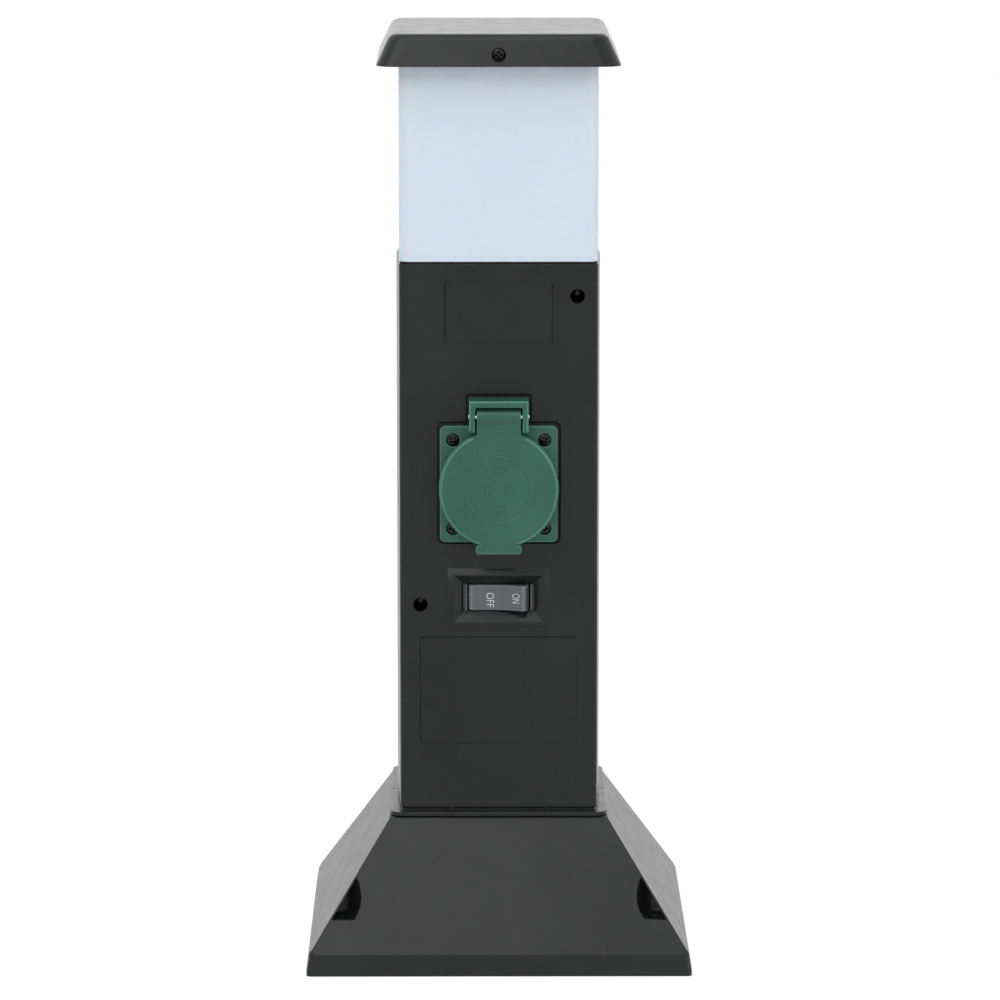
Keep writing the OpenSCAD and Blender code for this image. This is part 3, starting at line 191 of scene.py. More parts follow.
class StudioSettings(bpy.types.PropertyGroup):
    """Camera and light."""

    camera_place: spot("Camera place", "Where the camera stands", (-0.0119, -2.277, 0.579))
    camera_aim: spot("Camera aim", "Point that the camera looks at", (0.0008, 0, 0.1915))
    focal_length: bpy.props.FloatProperty(
        name="Focal length", description="Focal length of the camera, in millimetres",
        default=191.3, min=20)
    room_light: strength("Room light", "Strength of the light from all round", 0.5)
    key_power: strength("Key power", "Power of the main lamp", 27.5)
    fill_power: strength("Fill power", "Power of the lamp on the right", 10)
    top_power: strength("Top power", "Power of the lamp overhead", 5)
    back_power: strength("Back power", "Power of the lamp behind the post", 7.5)


SETTINGS = {
    "post_moulding": MouldingSettings,
    "post_lamp": LampSettings,
    "post_switch": SwitchSettings,
    "post_screws": ScrewSettings,
    "post_finish": FinishSettings,
    "post_studio": StudioSettings,
}


# Materials


class Finish:
    """A material under construction: its node tree, its shader and the pattern's coordinates."""

    def __init__(self, name):
        self.material = bpy.data.materials.new(name)
        FINISHES[name] = self.material
        self.material.use_nodes = True
        self.nodes = self.material.node_tree.nodes
        self.links = self.material.node_tree.links
        self.shader = self.nodes["Principled BSDF"]
        self.place = self.nodes.new("ShaderNodeTexCoord").outputs["Object"]

    def set(self, **values):
        """Sets uniform values on the shader's own sockets."""
        for name, value in values.items():
            title = name.replace("_", " ").title().replace("Ior", "IOR")
            self.shader.inputs[title].default_value = value
        return self

    def noise(self, size, detail=2.0, stretch=(1, 1, 1)):
        """Noise whose blotches are about size metres across, stretched along the axes."""
        mapping = self.nodes.new("ShaderNodeMapping")
        mapping.inputs["Scale"].default_value = [1 / (size * s) for s in stretch]
        self.links.new(self.place, mapping.inputs["Vector"])
        node = self.nodes.new("ShaderNodeTexNoise")
        node.inputs["Scale"].default_value = 1
        node.inputs["Detail"].default_value = detail
        self.links.new(mapping.outputs["Vector"], node.inputs["Vector"])
        return node.outputs[0]

    def spread(self, source, low, high, floor=0.3, ceiling=0.7):
        """Maps the values from floor to ceiling onto the range from low to high."""
        node = self.nodes.new("ShaderNodeMapRange")
        limits = {"From Min": floor, "From Max": ceiling, "To Min": low, "To Max": high}
        for title, value in limits.items():
            node.inputs[title].default_value = value
        self.links.new(source, node.inputs["Value"])
        return node.outputs["Result"]

    def tint(self, source, first, second):
        """Mixes two colours by a value and leads the result to the base colour."""
        node = self.nodes.new("ShaderNodeMix")
        node.data_type = "RGBA"
        node.inputs["A"].default_value = (*first, 1)
        node.inputs["B"].default_value = (*second, 1)
        self.links.new(source, node.inputs["Factor"])
        self.links.new(node.outputs["Result"], self.shader.inputs["Base Color"])

    def rough(self, source, low, high):
        """Leads a value, mapped onto a range, to the roughness."""
        self.links.new(self.spread(source, low, high), self.shader.inputs["Roughness"])

    def relief(self, *layers):
        """Stacks bump layers, each a source with its height in metres."""
        normal = None
        for source, height in layers:
            node = self.nodes.new("ShaderNodeBump")
            node.inputs["Distance"].default_value = height
            self.links.new(source, node.inputs["Height"])
            if normal:
                self.links.new(normal, node.inputs["Normal"])
            normal = node.outputs["Normal"]
        self.links.new(normal, self.shader.inputs["Normal"])


def shaded(value, factor):
    """A lighter or darker shade of a colour."""
    return tuple(min(1, channel * factor) for channel in value)


def moulded(name, base, low, high, depth=0.003 * MM, level=0.5):
    """Injection-moulded plastic: slight mottling, a fine grain and a faint waviness."""
    finish = Finish(name).set(Specular_ior_level=level)
    mottle = finish.noise(28 * MM, 3)
    finish.tint(finish.spread(mottle, 0, 1), shaded(base, 0.88), shaded(base, 1.12))
    finish.rough(finish.noise(9 * MM, 4), low, high)
    waves = finish.noise(30 * MM, 1)
    grain = finish.noise(0.35 * MM, 2)
    finish.relief((waves, 0.005 * MM), (grain, depth))


def turned_metal(name, base, low, high, brushing=(1, 1, 1)):
    """Metal with fine tool marks, drawn out along an axis where brushing shortens it."""
    finish = Finish(name).set(Metallic=1.0)
    finish.tint(finish.noise(6 * MM, 3), shaded(base, 0.85), shaded(base, 1.1))
    finish.rough(finish.noise(1.5 * MM, 3), low, high)
    finish.relief((finish.noise(0.15 * MM, 2, brushing), 0.004 * MM))


def opal_plastic(base):
    """Milky plastic of the diffuser, which scatters a little light inside its wall."""
    finish = Finish("opal_plastic").set(
        Subsurface_weight=0.35, Subsurface_scale=4 * MM, Specular_ior_level=0.45)
    finish.tint(finish.noise(45 * MM, 2), shaded(base, 0.975), shaded(base, 1.025))
    finish.rough(finish.noise(14 * MM, 3), 0.3, 0.4)
    waves = finish.noise(40 * MM, 1)
    grain = finish.noise(0.5 * MM, 2)
    finish.relief((waves, 0.1 * MM), (grain, 0.004 * MM))


def soft_rubber(name, base):
    """Dull rubber with a coarse grain."""
    finish = Finish(name).set(Specular_ior_level=0.3)
    finish.tint(finish.noise(4 * MM, 3), shaded(base, 0.8), shaded(base, 1.5))
    finish.rough(finish.noise(2 * MM, 3), 0.6, 0.8)
    finish.relief((finish.noise(0.25 * MM, 2), 0.01 * MM))


def wire_cover(name, base, stripe=None):
    """Wire insulation, with a second colour in bands along the wire where it has one."""
    finish = Finish(name)
    if stripe:
        bands = finish.noise(5 * MM, 0, (1, 1, 3))
        finish.tint(finish.spread(bands, 0, 1, 0.49, 0.51), base, stripe)
    else:
        finish.tint(finish.noise(8 * MM, 2), shaded(base, 0.9), shaded(base, 1.1))
    finish.rough(finish.noise(3 * MM, 2), 0.35, 0.5)
    finish.relief((finish.noise(0.4 * MM, 1), 0.006 * MM))


def print_ink(base):
    """Matt ink of the rocker's words."""
    finish = Finish("printed_white").set(Roughness=0.5)
    finish.tint(finish.noise(0.6 * MM, 2), shaded(base, 0.85), shaded(base, 1.1))


def make_finishes():
    """Makes the record's materials, lighter copies that paint highlights onto rounded edges, and the ink."""
    tone = bpy.context.scene.post_finish
    moulded("black_plastic", tone.black, 0.25, 0.3, level=0.25)
    moulded("dark_plastic", tone.dark, 0.16, 0.24)
    moulded("green_plastic", tone.green, 0.24, 0.34, level=0.3)
    # The three edge finishes are lighter copies of their plastics: painted highlights on rounded edges.
    moulded("green_edge", tone.green_edge, 0.2, 0.28)
    moulded("grey_edge", tone.grey_edge, 0.15, 0.22)
    moulded("dark_edge", tone.dark_edge, 0.15, 0.22)
    moulded("grey_plastic", tone.grey, 0.15, 0.22, level=0.6)
    moulded("cream_plastic", tone.cream, 0.4, 0.55)
    opal_plastic(tone.opal)
    moulded("opal_glass", tone.globe, 0.15, 0.25, depth=0.002 * MM)
    soft_rubber("black_rubber", tone.rubber)
    soft_rubber("grey_rubber", tone.grey_rubber)
    turned_metal("black_steel", tone.black_steel, 0.12, 0.2)
    turned_metal("steel", tone.steel, 0.18, 0.32)
    turned_metal("aluminium", tone.aluminium, 0.2, 0.35, (1, 1, 0.2))
    turned_metal("brass", tone.brass, 0.2, 0.34)
    wire_cover("brown_cover", tone.brown)
    wire_cover("blue_cover", tone.blue)
    wire_cover("green_yellow_cover", tone.earth_green, tone.earth_yellow)
    print_ink(tone.letter)


# Meshes

SHARPEN_REACH = [reach * MM for reach in (0.5, 0.9, 1.3, 1.8, 2.5, 3.5)]


def slot_of(node):
    """The record's material slot of a CAD node."""
    for part in frame["record"]["subparts"]:
        if part["node"] == node:
            return part["material_slot"]
    raise ValueError(f"no slot for {node}")


def body_of(node):
    """The CAD body that a node rides on."""
    for body, members in frame["record"]["behaviour"]["bodies"].items():
        if node in members:
            return body
    raise ValueError(f"no body for {node}")


def shade(piece, angle=32):
    """Smooth shading that keeps sharp edges sharp and flat faces flat."""
    piece.data.shade_smooth()
    piece.data.set_sharp_from_angle(angle=math.radians(angle))
    flat = piece.modifiers.new("Flat faces", "WEIGHTED_NORMAL")
    flat.keep_sharp = True
    flat.weight = 100


def mesh_of(name, bm):
    """Moves a bmesh into a new mesh."""
    mesh = bpy.data.meshes.new(name)
    bm.to_mesh(mesh)
    bm.free()
    return mesh


def linked(name, data):
    """A new object in the scene, at the origin."""
    holder = bpy.data.objects.new(name, data)
    bpy.context.scene.collection.objects.link(holder)
    return holder


def put(name, bm, nodes=(), slot=None, body=None, finish=None, angle=32):
    """Turns a bmesh into a piece that rides on its body and stands for its nodes."""
    slot = slot or slot_of(nodes[0])
    mesh = mesh_of(name, bm)
    mesh.materials.append(FINISHES[finish or slot])
    piece = linked(name, mesh)
    shade(piece, angle)
    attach(piece, body or body_of(nodes[0]))
    if nodes:
        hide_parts(*nodes)
    return piece


def baked(piece):
    """Applies a piece's modifiers to its mesh."""
    depsgraph = bpy.context.evaluated_depsgraph_get()
    old = piece.data
    piece.data = bpy.data.meshes.new_from_object(piece.evaluated_get(depsgraph))
    piece.modifiers.clear()
    bpy.data.meshes.remove(old)


def welded(node):
    """A copy of a CAD node's loose triangles, merged."""
    bm = bmesh.new()
    bm.from_mesh(frame["nodes"][node].data)
    bmesh.ops.remove_doubles(bm, verts=bm.verts, dist=WELD)
    return bm


def node_mesh(node):
    """A merged copy of a CAD node's mesh, with its flat faces joined up again."""
    bm = welded(node)
    bmesh.ops.dissolve_limit(bm, verts=bm.verts, edges=bm.edges, angle_limit=math.radians(0.7))
    return bm


def sharp_edges(bm, angle=28):
    """The edges that turn by more than an angle in degrees."""
    limit = math.radians(angle)
    return [e for e in bm.edges if e.is_manifold and e.calc_face_angle(0) > limit]


def softened(node, radius, weigh=None, edge_highlight=None):
    """A copy of a CAD node with its sharp edges rounded; weigh gives an edge's own share.

    Where the rounding would cut through itself, the edges nearby are left sharp, first within
    a short reach and then further round.
    """
    bm = node_mesh(node)
    weights = bm.edges.layers.float.new("bevel_weight_edge")
    edges = sharp_edges(bm)
    for edge in edges:
        edge[weights] = weigh(edge) if weigh else 1
    mesh = bpy.data.meshes.new(node + "_piece")
    piece = linked(node + "_piece", mesh)
    bevel = piece.modifiers.new("Rounded edges", "BEVEL")
    bevel.limit_method = "WEIGHT"
    bevel.width = radius
    bevel.segments = bpy.context.scene.post_moulding.edge_steps
    bevel.use_clamp_overlap = False
    mesh.materials.append(FINISHES[slot_of(node)])
    # Where given, the rounded faces take a lighter finish: a painted highlight.
    if edge_highlight:
        mesh.materials.append(FINISHES[edge_highlight])
        bevel.material = 1
    for reach in SHARPEN_REACH:
        bm.to_mesh(mesh)
        spots = crossings(piece)
        if not spots:
            break
        sharpen_near(edges, weights, spots, reach)
    bm.free()
    baked(piece)
    shade(piece)
    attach(piece, body_of(node))
    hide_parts(node)


def crossings(piece):
    """Places where the piece's faces, with its modifiers, cut through each other."""
    depsgraph = bpy.context.evaluated_depsgraph_get()
    bm = bmesh.new()
    bm.from_object(piece, depsgraph)
    bmesh.ops.triangulate(bm, faces=bm.faces)
    tree = BVHTree.FromBMesh(bm)
    bm.faces.ensure_lookup_table()
    spots = []
    for first, second in tree.overlap(tree):
        if first < second:
            one = bm.faces[first]
            two = bm.faces[second]
            if not set(one.verts) & set(two.verts):
                spots.append(one.calc_center_median())
    bm.free()
    return spots


def sharpen_near(edges, weights, spots, reach):
    """Takes the rounding off the edges that pass within reach of any spot."""
    spacing = 0.5 * MM
    tree = kdtree.KDTree(len(spots))
    for number, spot in enumerate(spots):
        tree.insert(spot, number)
    tree.balance()
    for edge in edges:
        first, last = (vert.co for vert in edge.verts)
        steps = max(1, int((last - first).length / spacing))
        places = [first.lerp(last, i / steps) for i in range(steps + 1)]
        if edge[weights] and any(tree.find(place)[2] < reach for place in places):
            edge[weights] = 0


def islands(node):
    """Lowest and highest corner of each separate solid in a CAD node."""
    bm = welded(node)
    left = set(bm.verts)
    boxes = []
    while left:
        stack = [left.pop()]
        group = []
        while stack:
            vert = stack.pop()
            group.append(vert.co.copy())
            for edge in vert.link_edges:
                other = edge.other_vert(vert)
                if other in left:
                    left.remove(other)
                    stack.append(other)
        low = Vector([min(co[i] for co in group) for i in range(3)])
        high = Vector([max(co[i] for co in group) for i in range(3)])
        boxes.append((low, high))
    bm.free()
    return sorted(boxes, key=lambda box: tuple(round(v, 5) for v in box[0]))


def spun(profile, steps=48):
    """A closed turned solid round Z from radius and height pairs that start and end on the axis."""
    bm = bmesh.new()
    verts = [bm.verts.new((radius, 0, height)) for radius, height in profile]
    edges = [bm.edges.new(pair) for pair in zip(verts, verts[1:])]
    bmesh.ops.spin(bm, geom=verts + edges, cent=(0, 0, 0), axis=UP, angle=2 * math.pi,
                   steps=steps, use_merge=True)
    bmesh.ops.remove_doubles(bm, verts=bm.verts, dist=WELD)
    bmesh.ops.recalc_face_normals(bm, faces=bm.faces)
    return bm


def add(bm, other, matrix):
    """Adds another bmesh to this one, moved by a matrix."""
    bmesh.ops.transform(other, matrix=matrix, verts=other.verts)
    mesh = mesh_of("part", other)
    bm.from_mesh(mesh)
    bpy.data.meshes.remove(mesh)


def facing(point, direction):
    """Matrix that lays a solid round Z along a direction, with its origin at a point."""
    turn = Vector(direction).to_track_quat("Z", "Y").to_matrix().to_4x4()
    return Matrix.Translation(point) @ turn


def cut(bm, cutter, mode="DIFFERENCE"):
    """Cuts one closed bmesh by another and returns the result."""
    body, tool = (linked("part", mesh_of("part", source)) for source in (bm, cutter))
    boolean = body.modifiers.new("Cut", "BOOLEAN")
    boolean.operation = mode
    boolean.solver = "EXACT"
    boolean.object = tool
    baked(body)
    result = bmesh.new()
    result.from_mesh(body.data)
    for holder in (body, tool):
        mesh = holder.data
        bpy.data.objects.remove(holder)
        bpy.data.meshes.remove(mesh)
    return result


def drawn(bm, faces):
    """Extrudes faces and returns the new vertices and faces, which lie on the old ones."""
    made = bmesh.ops.extrude_face_region(bm, geom=faces)["geom"]
    verts = [v for v in made if isinstance(v, bmesh.types.BMVert)]
    return verts, [f for f in made if isinstance(f, bmesh.types.BMFace)]


def rod(radius, low, high, steps=40):
    """A round bar along Z."""
    return spun([(0, low), (radius, low), (radius, high), (0, high)], steps)


class Loft:
    """A square outline with round corners that is drawn upwards in steps."""

    def __init__(self, width, corner, height, steps=10):
        self.bm = bmesh.new()
        self.width = width
        self.corner = corner
        self.height = height
        bmesh.ops.create_grid(self.bm, x_segments=1, y_segments=1, size=width / 2,
                              matrix=Matrix.Translation((0, 0, height)))
        bmesh.ops.bevel(self.bm, geom=self.bm.verts[:], offset=corner, segments=steps,
                        profile=0.5, affect="VERTICES", material=-1)
        self.cap = self.bm.faces[:]

    def step(self, width, height, corner):
        """Extrudes the open face to a new width, height and corner radius."""
        verts, cap = drawn(self.bm, self.cap)
        bmesh.ops.delete(self.bm, geom=self.cap, context="FACES_ONLY")
        self.cap = cap
        flat = self.width / 2 - self.corner
        for vert in verts:
            for i in (0, 1):
                past = (abs(vert.co[i]) - flat) / self.corner
                vert.co[i] = math.copysign(width / 2 - corner + corner * past, vert.co[i])
            vert.co.z = height
        self.width = width
        self.corner = corner
        self.height = height

    def fillet(self, radius, lean, steps=8):
        """Rounds from the side into a flat top, starting at the side's own lean in radians."""
        width = self.width
        height = self.height
        corner = self.corner
        for i in range(1, steps + 1):
            angle = lean + (math.pi / 2 - lean) * i / steps
            inset = radius * (math.cos(lean) - math.cos(angle))
            rise = radius * (math.sin(angle) - math.sin(lean))
            self.step(width - 2 * inset, height + rise, corner - inset)

    def closed(self):
        """The finished solid, with a bottom face."""
        edges = [e for e in self.bm.edges if e.is_boundary]
        if edges:
            bmesh.ops.holes_fill(self.bm, edges=edges)
        bmesh.ops.recalc_face_normals(self.bm, faces=self.bm.faces)
        return self.bm


def tube(points, radius, sides=12):
    """A closed round tube along a path of points."""
    bm = bmesh.new()
    direction = (points[1] - points[0]).normalized()
    made = bmesh.ops.create_circle(bm, cap_ends=True, segments=sides, radius=radius,
                                   matrix=facing(points[0], direction))
    face = made["verts"][0].link_faces[0]
    for i in range(1, len(points)):
        ahead = points[min(i + 1, len(points) - 1)] - points[i - 1]
        verts, ends = drawn(bm, [face])
        if i > 1:
            bmesh.ops.delete(bm, geom=[face], context="FACES_ONLY")
        face = ends[0]
        turn = direction.rotation_difference(ahead.normalized()).to_matrix().to_4x4()
        place = Matrix.Translation(points[i]) @ turn @ Matrix.Translation(-points[i - 1])
        bmesh.ops.transform(bm, matrix=place, verts=verts)
        direction = ahead.normalized()
    bmesh.ops.recalc_face_normals(bm, faces=bm.faces)
    return bm


def thread(bm, low, high, pitch, depth):
    """Winds a thread into a turned solid's wall between two heights."""
    for vert in bm.verts:
        radius = vert.co.xy.length
        if low < vert.co.z < high and radius > depth:
            turn = math.atan2(vert.co.y, vert.co.x) / (2 * math.pi)
            wave = 0.5 - 0.5 * math.cos(2 * math.pi * (vert.co.z / pitch - turn))
            fade = min(1, (vert.co.z - low) / pitch, (high - vert.co.z) / pitch)
            vert.co.xy *= 1 - depth * wave * fade / radius


# Pieces


def convex(edge):
    """Tells whether an edge stands out, unlike one at the foot of a wall."""
    return edge.is_manifold and edge.calc_face_angle_signed(0) > 0


class BaseOperator(bpy.types.Operator):
    """Add the hollow base with its rounded hips and skirt"""

    bl_idname = "post.base"
    bl_label = "Base"

    # Two heights above the ground, the shortest edge that counts as a hip, and how far off the
    # corner's line its ends may lie.
    skirt_top = 9 * MM
    pocket_floor = 22 * MM
    shortest_hip = 2 * MM
    hip_reach = 0.6 * MM

    def execute(self, context):
        size = context.scene.post_moulding
        widest = max(size.hip_radius, size.skirt_radius)
        softened("base", widest, weigh=lambda edge: self.radius(edge, size, widest) / widest)
        return {"FINISHED"}

    def radius(self, edge, size, widest):
        """The rounding of an edge: wide in the pockets' inner corners, on hips and on skirt."""
        inner = edge.is_manifold and not convex(edge)
        if inner and all(abs(v.co.z - self.pocket_floor) < LEVEL for v in edge.verts):
            return widest
        if convex(edge) and self.on_hip(edge) and edge.calc_length() > self.shortest_hip:
            low = max(v.co.z for v in edge.verts) < self.skirt_top
            return size.skirt_radius if low else size.hip_radius
        return size.edge_radius

    def on_hip(self, edge):
        """Tells whether an edge runs along one of the base's four corners."""
        return all(abs(abs(v.co.x) - abs(v.co.y)) < self.hip_reach for v in edge.verts)


class PillarOperator(bpy.types.Operator):
    """Add the two half shells of the pillar"""

    bl_idname = "post.pillar"
    bl_label = "Pillar"

    def execute(self, context):
        radius = context.scene.post_moulding.edge_radius
        softened("front_shell", radius)
        softened("rear_shell", radius)
        return {"FINISHED"}


class SocketOperator(bpy.types.Operator):
    """Add the socket's plate with its hinge bracket, and the contacts behind it"""

    bl_idname = "post.socket"
    bl_label = "Socket"

    # The bracket's front takes the full rounding, and what lies behind it a share.
    bracket_depth = 0.5 * MM
    plate_share = 0.4

    def execute(self, context):
        size = context.scene.post_moulding
        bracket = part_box("socket_body")[0].y + self.bracket_depth

        def share(edge):
            return 1 if max(v.co.y for v in edge.verts) < bracket else self.plate_share

        # The rounded edges take a lighter green: a painted highlight.
        softened("socket_body", size.socket_radius, weigh=share, edge_highlight="green_edge")
        for node in ("socket_gasket", "contact_carrier", "contact_sleeves", "earth_strap",
                     "contact_screws"):
            softened(node, size.inner_radius)
        return {"FINISHED"}


class LidOperator(bpy.types.Operator):
    """Add the sprung lid, its seal, the hinge pin and the spring"""

    bl_idname = "post.lid"
    bl_label = "Lid"

    # The raised sign: its reach, its place in the lid's front, its ring and the ring's share.
    sign_radius = 16 * MM
    sign_depth = 0.8 * MM
    sign_rise = 0.05 * MM
    ring_radius = 13 * MM
    ring_share = 0.3

    def execute(self, context):
        size = context.scene.post_moulding
        face = self.front("lid")
        centre = sum(corner.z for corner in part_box("lid_seal")) / 2
        # The lid's rounded edges take a lighter green: a painted highlight.
        softened("lid", size.lid_radius, weigh=lambda edge: self.share(edge, face, centre),
                 edge_highlight="green_edge")
        softened("lid_seal", size.seal_radius)
        self.pin()
        self.spring()
        return {"FINISHED"}

    @staticmethod
    def front(node):
        """Y of the largest face of a CAD node that looks forward."""
        bm = node_mesh(node)
        faces = [face for face in bm.faces if face.normal.y < -0.99]
        place = max(faces, key=lambda face: face.calc_area()).verts[0].co.y
        bm.free()
        return place

    def share(self, edge, face, centre):
        """The ring of the raised sign is rounded a little, its marks and inner corners not."""
        if not convex(edge):
            return 0
        off = (edge.verts[0].co + edge.verts[1].co) / 2
        reach = Vector((off.x, off.z - centre)).length
        if off.y > face + self.sign_depth or reach > self.sign_radius:
            return 1
        raised = off.y < face - self.sign_rise
        return self.ring_share if raised and reach > self.ring_radius else 0

    @staticmethod
    def pin():
        """The hinge pin, with domed ends."""
        low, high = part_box("hinge_pin")
        radius = (high.z - low.z) / 2
        half = (high.x - low.x) / 2
        dome = 0.3 * MM
        steps = 4
        angles = [math.pi / 2 * i / steps for i in range(steps)]
        end = [(radius * math.cos(a), half - dome + dome * math.sin(a)) for a in angles]
        profile = [(0, -half)] + [(r, -z) for r, z in reversed(end)] + end + [(0, half)]
        bm = spun(profile, 32)
        bmesh.ops.transform(bm, matrix=facing((low + high) / 2, (1, 0, 0)), verts=bm.verts)
        put("hinge_pin_piece", bm, ("hinge_pin",))

    @staticmethod
    def spring():
        """The coil and its fixed leg stay with the post; the other leg turns with the lid."""
        low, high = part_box("lid_spring")
        axis = Vector(JOINTS["lid_hinge"]["pos_m"])
        wire = 0.3 * MM
        turns = 7
        steps = 24
        mean = high.z - axis.z - wire
        left = low.x + wire
        right = high.x - wire
        # Offsets back and up from the hinge's axis, from the leg's lower end to the coil.
        fixed_leg = [(wire, low.z + wire - axis.z), (wire, -1.5 * mean),
                     (0.4 * mean, -1.28 * mean), (mean, -0.2 * mean)]
        coil = [Vector((left, axis.y + y, axis.z + z)) for y, z in fixed_leg]
        for i in range(turns * steps + 1):
            angle = 2 * math.pi * i / steps
            coil.append(Vector((left + (right - left) * i / (turns * steps),
                                axis.y + mean * math.cos(angle), axis.z + mean * math.sin(angle))))
        put("spring_coil", tube(coil, wire), ("lid_spring",), body="post")
        lean = 0.15 * MM
        leg = [coil[-1], coil[-1] + Vector((0, lean, -mean))]
        put("spring_leg", tube(leg, wire), ("lid_spring",), body="lid")


class SwitchOperator(bpy.types.Operator):
    """Add the switch: its housing, the lettered rocker and the contacts below it"""

    bl_idname = "post.switch"
    bl_label = "Switch"

    def execute(self, context):
        moulding = context.scene.post_moulding
        # The housing's rounded edges take a lighter finish: a painted highlight.
        softened("switch_housing", moulding.case_radius, edge_highlight="dark_edge")
        for node in ("switch_plunger", "switch_seesaw", "switch_terminals"):
            softened(node, moulding.inner_radius)
        self.size = context.scene.post_switch
        axis = Vector(JOINTS["rocker_pivot"]["pos_m"])
        tilt = -math.radians(JOINTS["rocker_pivot"]["range_deg"][1] / 2)
        self.place = Matrix.Translation(axis) @ Matrix.Rotation(tilt, 4, "Z")
        low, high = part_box("rocker")
        self.height = high.z - low.z
        self.rocker()
        self.word("OFF", self.size.off_place)
        self.word("ON", self.size.on_place)
        return {"FINISHED"}

    def front(self, x):
        """Height of the rocker's dished front above the pivot."""
        size = self.size
        share = x / size.rocker_radius
        return size.middle_height + (size.end_height - size.middle_height) * share * share

    def rocker(self):
        """The rocker: a dished front between round ends, a rounded rim with a painted highlight, and two pivot
        pins.
        """
        size = self.size
        radius = size.rocker_radius
        rim_room = 1.4 * size.rim / radius
        rim_height = 2 * MM
        arc_end = MM
        arc_steps = 5
        steps = 28
        across = [radius * (2 * i / steps - 1) for i in range(steps + 1)]
        dish = [Vector((x, -self.front(x))) for x in across]
        dish = [p for p in dish if p.length < radius]
        start = math.atan2(dish[-1].y, dish[-1].x) + rim_room
        end = -math.asin(arc_end / radius)
        arc = [start + (end - start) * i / arc_steps for i in range(arc_steps + 1)]
        right = [Vector((radius * math.cos(a), radius * math.sin(a))) for a in arc]
        under = [Vector((x, size.foot_depth)) for x in (size.foot_width / 2, -size.foot_width / 2)]
        left = [Vector((-p.x, p.y)) for p in reversed(right)]
        width = size.rocker_width
        bm = bmesh.new()
        outline = [bm.verts.new((p.x, p.y, -width / 2)) for p in dish + right + under + left]
        verts = drawn(bm, [bm.faces.new(outline)])[0]
        bmesh.ops.translate(bm, vec=(0, 0, width), verts=verts)
        bmesh.ops.recalc_face_normals(bm, faces=bm.faces)
        rim = [e for e in sharp_edges(bm, 40) if max(v.co.y for v in e.verts) < -rim_height]
        made = bmesh.ops.bevel(bm, geom=rim, offset=size.rim, segments=4, profile=0.5,
                               affect="EDGES", material=-1)
        # The rim's faces take the second material, a lighter grey: a painted highlight.
        for face in made["faces"]:
            face.material_index = 1
        bm = cut(bm, rod(size.pivot_radius, -self.height / 2, self.height / 2), "UNION")
        bmesh.ops.transform(bm, matrix=self.place, verts=bm.verts)
        put("rocker_piece", bm, ("rocker",)).data.materials.append(FINISHES["grey_edge"])

    def word(self, text, place):
        """Prints a word on the rocker, read from the top down and sunk a little into it."""
        print_height = 0.05 * MM
        sunk = 0.1 * MM
        font_weld = 0.0001
        curve = bpy.data.curves.new(text, "FONT")
        curve.body = text
        curve.extrude = 0.5
        curve.resolution_u = 6
        holder = linked(text, curve)
        bpy.context.view_layer.update()
        mesh = bpy.data.meshes.new_from_object(
            holder.evaluated_get(bpy.context.evaluated_depsgraph_get()))
        bpy.data.objects.remove(holder)
        bm = bmesh.new()
        bm.from_mesh(mesh)
        bpy.data.meshes.remove(mesh)
        bmesh.ops.remove_doubles(bm, verts=bm.verts, dist=font_weld)
        tall = max(v.co.y for v in bm.verts)
        start = min(v.co.x for v in bm.verts)
        wide = max(v.co.x for v in bm.verts) - start
        for vert in bm.verts:
            across = place + self.size.letter_height * (vert.co.y / tall - 0.5)
            read = (vert.co.x - start) / wide
            down = self.size.letter_top - self.size.letter_pitch * len(text) * read
            lift = print_height if vert.co.z > 0 else -sunk
            vert.co = Vector((across, -self.front(across) - lift, down))
        bmesh.ops.recalc_face_normals(bm, faces=bm.faces)
        bmesh.ops.transform(bm, matrix=self.place, verts=bm.verts)
        put("letters_" + text, bm, slot="grey_plastic", body="rocker", finish="printed_white")


